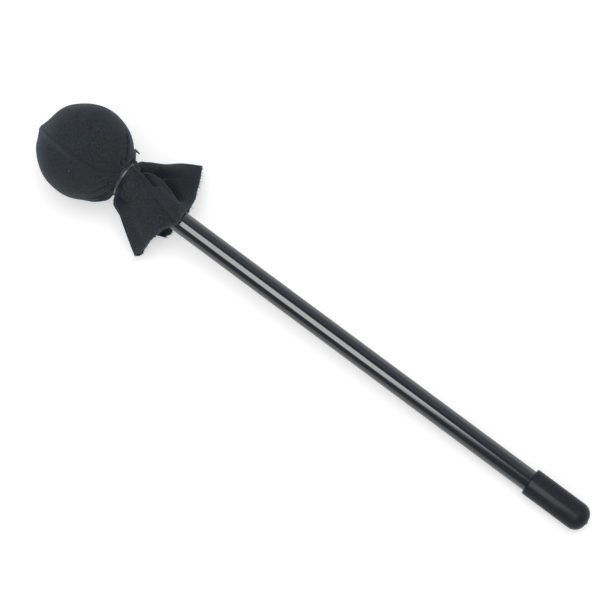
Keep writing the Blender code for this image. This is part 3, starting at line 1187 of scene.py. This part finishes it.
@dataclass
class HeadCover:
    """The cloth cover: two panels sewn over the crown, tied at the neck and open at the hem.

    Lengths here are in millimetres in the handle's frame. A turn is the share of the way round
    from the top seam, so the near panel has the turns from 0 to a half.
    """

    cloth: float = 0.7
    flat_width: float = 83.0
    ball: float = 26.85
    ball_seam: float = math.radians(23.2)
    neck_seam: float = math.radians(-34)
    ridge_crown: float = math.radians(21)
    ridge_side: float = math.radians(5)
    ridge_reach: float = math.radians(82)
    crown_shift: float = 3.4
    crown_reach: float = 32.0
    full_row: tuple[float, float] = (31.0, 13.0)
    ball_end: float = math.radians(150)
    twist_start: float = 0.84
    ball_twist: float = 0.22
    gather_start: float = 0.66
    gather_height: float = 0.5
    bunch_start: float = 0.8
    bunch_height: float = 2.2
    unevenness: float = 0.08
    tube_radius: float = 6.35
    clearance: float = 0.25
    pleats: int = 22
    pleat_height: float = 0.4
    seam_gap: float = 0.16
    seam_packing: float = 0.62
    columns: int = 150
    ball_rows: int = 96
    skirt_rows: int = 72
    flare: float = 0.84
    sag: float = 0.9
    pleat_fade: float = 0.07
    swell: float = 4.4
    near_swell: float = 1.9
    roll_depth: tuple[float, float] = (0.52, 0.48)
    roll_width: float = 0.38
    ridge_height: float = 0.05
    pucker: float = 0.06
    thread_radius: float = 0.14
    loose_threads: int = 260
    finish: Finish = BrushedCloth(
        "brushed_black_cloth",
        (0.0198, 0.0243, 0.0283),
        0.9,
        lint=((0.0041, -0.0183, 0.0193), (0.0421, -0.0045, 0.0105), (0.0478, -0.0051, 0.0102)),
    )
    thread_finish: Finish = SpunThread("black_sewing_thread", (0.016, 0.018, 0.02), 0.6)

    def turns(self, layer: Layer) -> Array:
        """The columns' turns on one panel, packed closer by its two seams.

        Args:
            layer: Which panel.

        Returns:
            The turns.
        """
        share = np.linspace(0.0, 1.0, self.columns + 1)
        share = share - self.seam_packing * np.sin(math.tau * share) / math.tau
        return 0.5 * share if layer is Layer.NEAR else 1.0 - 0.5 * share

    def pleat(self, turn: Array) -> Array:
        """The gathered cloth's waves round the neck, from -1 to 1, of uneven size.

        Args:
            turn: The turns of some points.

        Returns:
            The waves there.
        """
        angle = math.tau * turn
        waves = np.cos(self.pleats * angle + 1.1 * np.sin(3 * angle + 0.6))
        uneven = 0.72 + 0.28 * np.sin(5 * angle + 1.3)
        return waves * uneven + 0.22 * np.cos((2 * self.pleats + 3) * angle + 0.8)

    def seam(self, twist: Array | float) -> Array | float:
        """The top seam's angle where the cloth has taken a share of the neck's twist."""
        return self.ball_seam + (self.neck_seam - self.ball_seam) * twist

    @staticmethod
    def lump(angle: Array, middle: float, spread: float) -> Array:
        """A smooth lump round the handle, 1 at its middle angle. Both sizes are in degrees."""
        return bell((np.degrees(angle) - middle + 180.0) % 360.0 - 180.0, spread)

    def ball_row(self, polar: float, turn: Array) -> Array:
        """A row round the ball at an angle from the crown.

        Args:
            polar: The angle from the crown.
            turn: The turns of its points.

        Returns:
            The points.
        """
        share = polar / self.ball_end
        degrees = math.degrees(polar)
        angle = self.seam(self.ball_twist * late(share, self.twist_start)) + math.tau * turn
        across = np.arcsin(np.abs(np.sin(polar) * np.sin(math.tau * turn)))
        sideways = step_up(polar / self.ridge_reach)
        ridge = self.ridge_crown + (self.ridge_side - self.ridge_crown) * sideways
        radius = self.ball / np.cos(np.maximum(0.0, ridge - across))
        gathered = late(share, self.gather_start) ** 2 * self.pleat(turn)
        sides = 0.3 + 0.6 * self.lump(angle, *NEAR_GATHERS)
        bunched = late(share, self.bunch_start) * self.lump(angle, *NEAR_BUNCH)
        uneven = np.sin(9 * polar + 3 * math.tau * turn) * step_up(share * 4)
        full_at, full_reach = self.full_row
        full = bell(degrees - full_at, full_reach) * self.lump(angle, *FULL_CROWN)
        radius = radius + self.gather_height * sides * gathered + self.bunch_height * bunched
        radius = radius + self.unevenness * uneven + full
        ring = radius * np.sin(polar)
        shift = self.crown_shift * bell(degrees, self.crown_reach)
        y = -ring * np.sin(angle) - shift * math.cos(self.ball_seam)
        z = ring * np.cos(angle) - shift * math.sin(self.ball_seam)
        return np.stack([-radius * np.cos(polar), y, z], axis=1)

    def ring(self, row: NeckRow, turn: Array) -> Array:
        """A row of the gathered neck, in the leaning plane of the tie.

        Args:
            row: The row's sizes.
            turn: The turns of its points.

        Returns:
            The points.
        """
        angle = self.seam(row.twist) + math.tau * turn
        reach = row.radius + row.pleats * self.pleat_height * self.pleat(turn)
        near = self.lump(angle, *NEAR_BUNCH)
        reach = reach + row.near * near + row.far * self.lump(angle, *FAR_BUNCH)
        reach = reach - row.dip * self.lump(angle, *POCKET)
        y = -reach * np.sin(angle)
        z = reach * np.cos(angle)
        lean = (z * math.tan(TIE_LEAN) - y * math.tan(TIE_TURN)) * row.held
        station = TIE_STATION + row.offset + row.slip * near
        return np.stack([station + lean, y, z], axis=1)

    def skirt_row(self, share: float, turn: Array, top: Array) -> Array:
        """A row of the skirt, part of the way from the throat to the hem.

        Args:
            share: How far down the skirt it is.
            turn: The turns of its points.
            top: The throat's points.

        Returns:
            The points.
        """
        hem = self.hem_points(turn)
        opened = share**self.flare
        place = top + (hem - top) * np.array([share, opened, opened])
        place[:, 2] -= self.sag * math.sin(math.pi * share) * np.abs(hem[:, 1]) / 30.0
        room = np.hypot(place[:, 1], place[:, 2])
        least = self.tube_radius + self.cloth / 2 + self.clearance
        push = np.maximum(least / np.maximum(room, 1e-6), 1.0)
        angle = math.tau * turn + self.neck_seam
        move = 1.3 * self.pleat_height * math.exp(-share / self.pleat_fade) * self.pleat(turn)
        start, shift, spread = FAR_BULGE
        far = self.lump(angle, start + shift * share, spread)
        move = move + self.swell * far * abs(math.sin(math.pi * share**0.72)) ** 1.1
        near = self.lump(angle, *NEAR_BULGE)
        move = move + self.near_swell * near * abs(math.sin(math.pi * share**0.45)) ** 1.2
        place[:, 1:] *= (push + move / room)[:, None]
        return place

    def hem_points(self, turn: Array) -> Array:
        """The hem's points at some turns.

        Args:
            turn: The turns.

        Returns:
            The points.
        """
        points = np.zeros((len(turn), 3))
        near = turn <= 0.5
        for mask, table, share in (
            (near, NEAR_HEM, 2 * turn),
            (~near, FAR_HEM, 2 * (1 - turn)),
        ):
            line = smooth_line(np.array(table), 12)
            steps = np.linalg.norm(np.diff(line, axis=0), axis=1)
            reached = np.concatenate([[0.0], np.cumsum(steps)])
            reached /= reached[-1]
            for axis in range(3):
                points[mask, axis] = np.interp(share[mask], reached, line[:, axis])
        return points

    def rows(self, turn: Array) -> Array:
        """Every row of a panel from the crown to the hem.

        Args:
            turn: The turns of its columns.

        Returns:
            The points, by row and column.
        """
        top = self.ring(replace(NECK_ROWS[-1], pleats=0.0), turn)
        polars = [self.ball_end * (i + 1) / self.ball_rows for i in range(self.ball_rows)]
        shares = [(i + 1) / self.skirt_rows for i in range(self.skirt_rows)]
        rows = [self.ball_row(polar, turn) for polar in polars]
        rows += [self.ring(row, turn) for row in NECK_ROWS]
        rows += [self.skirt_row(share, turn, top) for share in shares]
        return np.array(rows)

    def panel(self, layer: Layer) -> Piece:
        """Models one panel as a closed sheet with its thickness.

        Args:
            layer: Which panel.

        Returns:
            The panel in its place.
        """
        turn = self.turns(layer)
        grid = self.rows(turn)
        normals = self.normals(grid) * layer.value
        flat = grid.reshape(-1, 3)
        flat_normals = normals.reshape(-1, 3)
        moved = np.zeros(len(flat))
        for crease in CREASES:
            moved += crease.press(flat, flat_normals)
        grid = (flat + flat_normals * moved[:, None]).reshape(grid.shape)
        grid = self.curl_edges(grid, normals)
        # The pocket by the strap is dented by the neck rows, and here it also gets painted shade
        return self.weave(layer, grid, moved.reshape(grid.shape[:2]) - self.painted_pocket_shade(turn))

    def painted_pocket_shade(self, turn: Array) -> Array:
        """How much shade is painted into the pocket beside the strap, by row and column.

        Args:
            turn: The turns of the columns.

        Returns:
            How dark the painted shade is, as a crease depth in millimetres.
        """
        deep = [0.0] * self.ball_rows + [1.3 * row.dip for row in NECK_ROWS]
        deep += [2.4 * bell(i + 1, 2.5) for i in range(self.skirt_rows)]
        return np.outer(deep, self.lump(self.seam(1.0) + math.tau * turn, *POCKET))

    @staticmethod
    def normals(grid: Array) -> Array:
        """The surface normals of a grid of points, by the turn's direction."""
        return unit(np.cross(np.gradient(grid, axis=1), np.gradient(grid, axis=0)))

    @staticmethod
    def from_seams(grid: Array) -> tuple[Array, Array]:
        """How far each point is along its row, and from the nearer of the panel's two seams.

        Args:
            grid: The panel's points.

        Returns:
            Both lengths for each point.
        """
        steps = np.linalg.norm(np.diff(grid, axis=1), axis=2)
        reach = np.concatenate([np.zeros((len(grid), 1)), np.cumsum(steps, axis=1)], axis=1)
        return reach, np.minimum(reach, reach[:, -1:] - reach)

    def curl_edges(self, grid: Array, normals: Array) -> Array:
        """Rolls the panel's two long edges in to the seam, with puckers along it.

        Args:
            grid: The panel's points.
            normals: Its outward normals.

        Returns:
            The changed points.
        """
        reach, gap = self.from_seams(grid)
        rows = np.arange(len(grid))[:, None]
        waves = np.sin(rows * 1.9 + 0.7 * np.sin(rows * 0.31)) * np.exp(-gap / 1.6)
        depth = np.where(rows < self.ball_rows, *self.roll_depth)
        roll = self.ridge_height * bell(gap - 1.1, 0.6) - depth * bell(gap, self.roll_width)
        wide = step_up(reach[:, -1:] / 9.0)
        grid = grid + normals * ((roll + self.pucker * waves) * wide)[:, :, None]
        side = np.sign(reach[:, -1:] / 2 - reach)
        inward = unit(np.gradient(grid, axis=1))
        return grid + inward * (side * self.seam_gap * np.exp(-gap / 0.8))[:, :, None]

    def weave(self, layer: Layer, grid: Array, moved: Array) -> Piece:
        """Turns a panel's points into a sheet with a weave map, wear, painted shade and a thickness.

        Args:
            layer: Which panel.
            grid: Its points, by row and column.
            moved: How far the creases moved each point, less the pocket's painted shade; the lower it
                is, the darker the painted shade.

        Returns:
            The sheet in its place.
        """
        rows, columns = grid.shape[:2]
        rng = np.random.default_rng(NEAR_SEED if layer is Layer.NEAR else FAR_SEED)
        ragged = rng.normal(0.0, 0.17, columns)
        ragged = ragged + 0.25 * np.sin(np.cumsum(rng.normal(0.0, 0.9, columns)))
        fringe = np.exp(-np.arange(rows)[::-1] / 1.6)[:, None] * ragged[None, :]
        grid = grid + unit(np.gradient(grid, axis=0)) * fringe[:, :, None]
        points = HANDLE.cast([grid[0].mean(axis=0), *grid.reshape(-1, 3)])
        faces = [(0, 1 + i, 2 + i) for i in range(columns - 1)]
        for j in range(rows - 1):
            for i in range(columns - 1):
                a = 1 + j * columns + i
                faces.append((a, a + columns, a + columns + 1, a + 1))
        if layer is Layer.FAR:
            faces = [tuple(reversed(face)) for face in faces]
        sheet = new_mesh("panel", points, faces)
        lengths = np.linalg.norm(np.diff(grid, axis=0), axis=2).mean(axis=1)
        drop = np.concatenate([[0.0], np.cumsum(lengths)])
        width = np.linspace(0.0, self.flat_width, columns)
        uv = sheet.data.uv_layers.new(name=WEAVE_MAP)
        for loop in sheet.data.loops:
            index = loop.vertex_index - 1
            row, column = divmod(max(index, 0), columns)
            uv.data[loop.index].uv = (width[column], drop[row] if index >= 0 else -0.5)
        _, gap = self.from_seams(grid)
        share = np.arange(rows)[:, None] / self.ball_rows
        hem = np.exp(-(drop[-1] - drop) / 0.9)[:, None] + self.seam_wear(layer, share, gap)
        # Painted shade: darker along the seam's roll, where creases press in, in the pocket by the
        # strap and round the listed spots
        painted_shade = 0.5 * bell(gap, 0.6) - moved / 2.2
        for centre, reach, amount in PAINTED_SHADE_SPOTS:
            painted_shade += amount * bell(np.linalg.norm(grid - centre, axis=2), reach)
        for name, values in ((RAW_EDGE, hem), (PAINTED_SHADE, np.clip(painted_shade, 0.0, 1.0))):
            write_values(sheet, name, np.concatenate([[0.0], values.ravel()]))
        thickness = self.cloth * MM
        Bench.modify(sheet, "SOLIDIFY", thickness=thickness, offset=0.0, use_even_offset=False)
        Bench.smooth(sheet, 60.0)
        return sheet

    @staticmethod
    def seam_wear(layer: Layer, share: Array, gap: Array) -> Array:
        """The pale wear by the seam over the ball: a line on one panel, dust on the other.

        Args:
            layer: Which panel.
            share: How far each row is from the crown to the ball's end.
            gap: How far each point is from the seam.

        Returns:
            The wear at each point.
        """
        if layer is Layer.FAR:
            return 0.4 * bell(share - 0.2, 0.16) * bell(gap - 0.75, 0.4)
        return 0.34 * bell(share - 0.47, 0.16) * bell(gap - 2.1, 1.5)

    def stitches(self) -> Piece:
        """Models the seam's thread: it dips from stitch to stitch along the seam.

        Returns:
            The thread in its place.
        """
        lines = []
        for turn in (0.0, 0.5):
            grid = self.rows(np.array([turn - 0.001, turn, turn + 0.001]) % 1.0)
            middle = grid[:, 1]
            outward = self.normals(grid)[:, 1]
            flip = np.sign((outward * (middle * [0.0, 1.0, 1.0])).sum(axis=1))
            outward = outward * np.where(flip == 0, 1, flip)[:, None]
            dip = 0.42 + 0.1 * np.sin(np.arange(len(middle)) * 1.4)
            lines.append(middle - outward * dip[:, None])
        route = HANDLE.cast(np.vstack([lines[0][::-1], lines[1]]))
        data = bpy.data.curves.new("stitches", "CURVE")
        data.dimensions = "3D"
        data.bevel_depth = self.thread_radius * MM
        data.bevel_resolution = 2
        data.use_fill_caps = True
        run = data.splines.new("POLY")
        run.points.add(len(route) - 1)
        for knot, place in zip(run.points, route):
            knot.co = (*place, 1.0)
        Bench.take(add_object("stitches", data))
        bpy.ops.object.convert(target="MESH")
        thread = bpy.context.active_object
        Bench.outward(thread)
        Bench.smooth(thread, 60.0)
        return thread

    def frayed(self) -> Piece:
        """Models loose thread ends that stand out of the raw hem.

        Returns:
            The thread ends in their place.
        """
        rng = np.random.default_rng(FRAY_SEED)
        verts, faces = [], []
        turns = rng.random(self.loose_threads)
        hem = self.hem_points(turns)
        grid = self.rows(turns)
        for place, along in zip(hem, unit(grid[-1] - grid[-4])):
            long = rng.uniform(0.3, 1.0) + 1.1 * rng.random() ** 6
            bend = rng.normal(0.0, 0.45, 3)
            thick = rng.uniform(0.05, 0.11)
            side = unit(np.cross(along, rng.normal(0.0, 1.0, 3)))
            other = np.cross(along, side)
            first = len(verts)
            for share in (0.0, 0.25, 0.5, 0.75, 1.0):
                centre = place + along * ((long + 0.35) * share - 0.35)
                centre = centre + bend * share**2 * long * 0.6
                girth = thick * (1.0 - 0.6 * share)
                verts += [centre + girth * spoke for spoke in (side, other, -side, -other)]
            for a in range(first, first + 16):
                b = a + 1 if (a - first) % 4 < 3 else a - 3
                faces.append((a, b, b + 4, a + 4))
            faces.append((first + 3, first + 2, first + 1, first))
            faces.append((first + 16, first + 17, first + 18, first + 19))
        fray = new_mesh("fray", HANDLE.cast(verts), faces)
        Bench.outward(fray)
        Bench.smooth(fray, 60.0)
        return fray

    def dress(self) -> None:
        """Builds the cover's two panels, its stitches and its frayed hem, and hangs them on the mallet.
        """
        thread, cloth = (self.thread_finish, Body.MALLET, "thread"), (self.finish, Body.MALLET, "cloth")
        fray = dress(self.frayed(), "frayed_hem", *thread)
        near = dress(self.panel(Layer.NEAR), "cloth_near", *cloth, ["cover_panel_near"])
        far = dress(self.panel(Layer.FAR), "cloth_far", *cloth, ["cover_panel_far"])
        dress(self.stitches(), "seam_stitches", *thread, ["seam_thread"])


@dataclass
class CableTie:
    """The cable tie round the neck: a railed strap, its locking head and its clipped tail."""

    inner: float = 0.00925
    thickness: float = 0.0011
    width: float = 0.0028
    shoulder: float = 0.0002
    channel: float = 0.0003
    tooth: float = 0.0002
    teeth: int = 96
    glint: tuple[float, float] = (-10.5, 13.0)
    head: Point = (0.0036, 0.0034, 0.0046)
    head_edge: float = 0.0005
    head_slot: tuple[float, float] = (0.0006, 0.0005)
    tail_length: float = 0.0076
    tail_angle: float = math.radians(123.4)
    tail_root: Point = (0.0002, 0.01195, 0.0004)
    tail_margin: float = 0.0006
    tail_teeth: int = 24
    tail_rim: float = 0.0005
    tail_tooth: float = 0.00022
    tail_slant: float = 0.0009
    tail_highlight: float = 0.65
    burr: Point = (0.0037, 0.0012, 0.0018)
    burr_angle: float = math.radians(-11)
    burr_root: float = 0.0004
    finish: Finish = MouldedNylon("black_moulded_nylon", (0.011, 0.0128, 0.0165), 0.2)

    def matrix(self) -> Matrix:
        """The tie's own leaning frame, with X along the handle."""
        turned = Euler((0.0, TIE_LEAN, TIE_TURN)).to_matrix().to_4x4()
        return HANDLE.matrix() @ Matrix.Translation((TIE_STATION * MM, 0.0, 0.0)) @ turned

    def strap(self) -> Piece:
        """Models the strap: a section with a channel, spun right round, its ridge toothed.

        Returns:
            The strap about the X axis.
        """
        outer = self.inner + self.thickness
        middle = self.inner + self.thickness / 2
        strap = Bench.block((self.width, self.thickness, 0.0), (0.0, middle, 0.0))
        Bench.pick(strap, Part.FACES)
        bpy.ops.mesh.remove_doubles(threshold=TOUCH)
        bpy.ops.mesh.select_all(action="SELECT")
        bpy.ops.mesh.delete(type="ONLY_FACE")
        Bench.pick(strap, Part.EDGES, lambda place, normal: place.y > outer - TOUCH)
        bpy.ops.mesh.subdivide(number_cuts=9)
        lane = self.width / 10
        for lanes, drop in (((-5, 5), self.shoulder), ((-3, -2, -1, 0), self.channel)):
            Bench.pick(
                strap,
                Part.VERTS,
                lambda place, normal: place.y > outer - TOUCH and round(place.x / lane) in lanes,
            )
            bpy.ops.transform.translate(value=(0.0, -drop, 0.0))
        Bench.pick(strap, Part.VERTS)
        steps = self.teeth * 4
        bpy.ops.mesh.spin(
            steps=steps, angle=math.tau, center=(0.0, 0.0, 0.0), axis=(1.0, 0.0, 0.0), dupli=False
        )
        Bench.outward(strap)
        for phase in range(1, 4):
            Bench.pick(
                strap,
                Part.VERTS,
                lambda place, normal: place.x > 0.5 * lane
                and math.hypot(place.y, place.z) > outer - self.shoulder - TOUCH
                and round(math.atan2(place.z, place.y) * steps / math.tau) % 4 == phase,
            )
            shrink = 1.0 - self.tooth * phase / 3 / outer
            bpy.ops.transform.resize(value=(1.0, shrink, shrink), center_override=(0.0, 0.0, 0.0))
        bpy.ops.object.mode_set(mode="OBJECT")
        return strap

    def mark_shade_and_highlights(self, strap: Piece) -> None:
        """Marks the strap's sunk channels for painted shade, and its tooth crests and a strip of its
        smooth edge for painted highlights.

        Args:
            strap: The strap about the X axis.
        """
        outer = self.inner + self.thickness
        middle, spread = self.glint
        sunk, lightened = [], []
        for vert in strap.data.vertices:
            x, y, z = vert.co
            depth = outer - math.hypot(y, z)
            inside = abs(x) < self.width * 0.44
            toothed = x > self.width * 0.05 and depth < self.channel
            lit = abs(math.degrees(math.atan2(-y, z)) - middle) < spread
            glint = lit and x < -self.width * 0.08 and depth < self.channel + 5 * TOUCH
            # Channels get painted shade; tooth crests and the strip where the softbox glints get
            # painted highlights
            sunk.append(min(max(depth / self.channel, 0.0), 1.0) if inside and not toothed else 0.0)
            lightened.append(max(1.0 - depth / self.tooth, 0.15) if toothed else 0.75 * glint)
        write_values(strap, RECESS, sunk)
        write_values(strap, PAINTED_HIGHLIGHT, lightened)

    def locking_head(self) -> Piece:
        """Models the locking head: a rounded block with a sunk slot in its back.

        Returns:
            The head on the far side of the strap.
        """
        rim, deep = self.head_slot
        height = self.head[1]
        top = self.inner + height - TOUCH
        head = Bench.block(self.head, (0.0, self.inner + height / 2, 0.0))
        Bench.pick(head, Part.EDGES)
        Bench.bevel(self.head_edge, 4)
        Bench.pick(head, Part.FACES, lambda place, normal: normal.y > 0.999 and place.y > top)
        Bench.inset(rim)
        Bench.extrude((0.0, -deep, 0.0))
        bpy.ops.object.mode_set(mode="OBJECT")
        return head

    def tail(self) -> Piece:
        """Models the tail: fine teeth down one face, and a slanted cut.

        Returns:
            The tail, standing out of the head.
        """
        long, wide, start = self.tail_length, self.width, self.tail_margin
        half = self.thickness * 0.475
        tail = Bench.block((long, 2 * half, wide), (long / 2, 0.0, 0.0))
        Bench.pick(tail, Part.FACES)
        side = wide / 2 - self.tail_rim
        cuts = [(cut, 0.0) for cut in np.linspace(start, long - start, self.tail_teeth)]
        for x, z in (*cuts, (0.0, -side), (0.0, side)):
            normal = (0.0, 0.0, 1.0) if z else (1.0, 0.0, 0.0)
            bpy.ops.mesh.select_all(action="SELECT")
            bpy.ops.mesh.bisect(plane_co=(x, 0.0, z), plane_no=normal)
        pitch = (long - 2 * start) / (self.tail_teeth - 1)
        Bench.pick(
            tail,
            Part.VERTS,
            lambda place, normal: place.y < -half + TOUCH
            and abs(place.z) < side + CLOSE
            and round((place.x - start) / pitch) % 2 == 1,
        )
        bpy.ops.transform.translate(value=(0.0, self.tail_tooth, 0.0))
        Bench.pick(tail, Part.VERTS, lambda place, normal: place.x > long - TOUCH and place.y > 0)
        bpy.ops.transform.translate(value=(-self.tail_slant, 0.0, 0.0))
        bpy.ops.object.mode_set(mode="OBJECT")
        # The whole tail gets a painted highlight
        write_values(tail, PAINTED_HIGHLIGHT, [self.tail_highlight] * len(tail.data.vertices))
        Bench.place(tail, Matrix.Translation(self.tail_root) @ turned_about_z(self.tail_angle))
        return tail

    def cut_burr(self) -> Piece:
        """Models the burr of the cut: a thin sliver that points back from the tail's end.

        Returns:
            The burr at the tail's end.
        """
        long, thick, _ = self.burr
        burr = Bench.block(self.burr, (long / 2 - self.burr_root, 0.0, 0.0))
        Bench.pick(burr, Part.FACES, lambda place, normal: normal.x > 0.9)
        bpy.ops.transform.resize(value=(1.0, 0.45, 0.6))
        bpy.ops.transform.translate(value=(0.0, thick * 0.2, 0.0))
        Bench.pick(burr, Part.EDGES)
        Bench.bevel(0.00005, 1)
        bpy.ops.object.mode_set(mode="OBJECT")
        along = Vector((math.cos(self.tail_angle), math.sin(self.tail_angle), 0.0))
        end = Vector(self.tail_root) + along * (self.tail_length - self.tail_margin)
        Bench.place(burr, Matrix.Translation(end) @ turned_about_z(self.burr_angle))
        return burr

    def dress(self) -> None:
        """Builds the tie from its parts and hangs it on the mallet."""
        strap = self.strap()
        self.mark_shade_and_highlights(strap)
        tie = Bench.join([strap, self.locking_head(), self.tail(), self.cut_burr()])
        Bench.place(tie, self.matrix())
        Bench.smooth(tie, 40.0)
        dress(tie, "nylon_tie", self.finish, Body.MALLET, "tie", ["cable_tie"])


# ---- Studio ----


@dataclass
class Studio:
    """The table, the camera and the light."""

    elevation: float = math.radians(75.0)
    azimuth: float = math.radians(36.83)
    distance: float = 1.2
    lens: float = 127.66
    target: Point = (0.1438, 0.0088, 0.0)
    ambient: float = 0.4
    mirrored: float = 0.34
    key: float = 2.95
    key_place: Point = (0.05, 0.36, 2.5)
    key_size: float = 1.9
    fill: float = 1.15
    fill_place: Point = (0.15, -1.45, 1.5)
    fill_size: float = 1.8
    aim: Point = (0.12, 0.0, 0.0)
    box_light: float = 6.8
    box_long: float = 1.3
    box_wide: float = 0.94
    box_place: Point = (0.17, -0.53, 1.0)
    box_turn: float = math.radians(-14.0)
    box_dim: Colour = (0.7, 0.82, 1.0)
    mirrored_tint: Colour = (0.8, 0.9, 1.0)
    table_size: float = 14.0
    table: Finish = WhiteTable("white_table", (0.8, 0.8, 0.8), 0.9)

    def camera(self) -> None:
        """Puts the camera over the mallet, at the photograph's angle."""
        level = math.cos(self.elevation)
        flat = (math.sin(self.azimuth) * level, -math.cos(self.azimuth) * level)
        back = Vector((*flat, math.sin(self.elevation)))
        data = bpy.data.cameras.new("camera")
        data.lens = self.lens
        data.sensor_width = 36.0
        data.clip_start = 0.01
        data.clip_end = 50.0
        camera = add_object("camera", data)
        camera.rotation_mode = "QUATERNION"
        camera.location = Vector(self.target) + back * self.distance
        camera.rotation_quaternion = (-back).to_track_quat("-Z", "Y")
        bpy.context.scene.camera = camera

    def floor(self) -> None:
        """Lays the table under the mallet."""
        Bench.clear()
        bpy.ops.mesh.primitive_plane_add(size=self.table_size, location=(0.0, 0.0, 0.0))
        floor = bpy.context.active_object
        floor.name = "table"
        floor.data.materials.append(self.table.material())

    def sky(self) -> None:
        """A dim even sky that is brighter low down behind the mallet, and white to the camera."""
        world = bpy.data.worlds.new("studio")
        bpy.context.scene.world = world
        tree = Tree(world)
        place = tree.node("ShaderNodeTexCoord", output="Generated")
        height = tree.axis(place, "Z")
        behind = tree.axis(place, "Y")
        low = height.between(0.45, 0.2) * behind.between(0.0, 0.5)
        high = height.between(0.99, 0.8) * behind.between(0.05, 0.3)
        gloss = tree.ray("Glossy")
        lit = self.ambient + gloss * (self.mirrored - self.ambient + low * 0.85 + high * 0.42)
        strength = lit + (tree.ray("Camera") + tree.ray("Transmission")) * (1.0 - lit)
        tint = tree.blend(gloss, (1.0, 1.0, 1.0), self.mirrored_tint)
        light = tree.node("ShaderNodeBackground", None, {"Color": tint, "Strength": strength})
        tree.close(light, "World")

    def lamp(self, name: str, side: float, place: Point, radiance: float) -> None:
        """Hangs a square area lamp that faces the mallet and that the gloss doesn't show.

        Args:
            name: Its name.
            side: The length of its side.
            place: Where it hangs.
            radiance: How bright its face is.
        """
        data = bpy.data.lights.new(name, "AREA")
        data.shape = "RECTANGLE"
        data.size = side
        data.size_y = side
        data.energy = radiance * side * side * math.pi
        lamp = add_object(name, data)
        lamp.location = place
        lamp.rotation_euler = (Vector(self.aim) - Vector(place)).to_track_quat("-Z", "Y").to_euler()
        lamp.visible_camera = False
        lamp.visible_glossy = False

    def lights(self) -> None:
        """Two large soft lamps, from above and from the near side."""
        self.lamp("key_lamp", self.key_size, self.key_place, self.key)
        self.lamp("fill_lamp", self.fill_size, self.fill_place, self.fill)

    def softbox(self) -> None:
        """Hangs the softbox that only the gloss shows: a long panel that fades at its end."""
        Bench.clear()
        bpy.ops.mesh.primitive_plane_add(size=1.0)
        panel = bpy.context.active_object
        panel.name = "softbox"
        panel.data.transform(Matrix.Diagonal((self.box_long, self.box_wide, 1.0, 1.0)))
        panel.location = self.box_place
        panel.rotation_euler = (0.0, 0.0, self.box_turn)
        material = bpy.data.materials.new("softbox")
        tree = Tree(material)
        along = tree.axis(tree.place(), "X")
        dim = along.between(0.1, 0.4)
        tail = along.between(0.34, 0.58)
        strength = self.box_light * (1.0 - dim * 0.86) * (1.0 - tail * 0.75)
        tree.close(tree.glow(strength, tree.blend(dim, (1.0, 1.0, 1.0), self.box_dim)))
        panel.data.materials.append(material)
        panel.visible_camera = False
        panel.visible_diffuse = False
        panel.visible_shadow = False

    def build(self) -> None:
        """Sets the whole studio up."""
        self.camera()
        self.floor()
        self.sky()
        self.lights()
        self.softbox()
        bpy.context.scene.view_settings.view_transform = "Standard"


def main() -> None:
    """Builds the mallet's look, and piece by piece."""
    logging.basicConfig(level=logging.INFO, format="%(name)s: %(message)s")
    Studio().build()
    CoreBall().dress()
    HandleTube().dress()
    ButtCap().dress()
    HeadCover().dress()
    CableTie().dress()


if __name__ == "__main__":
    main()
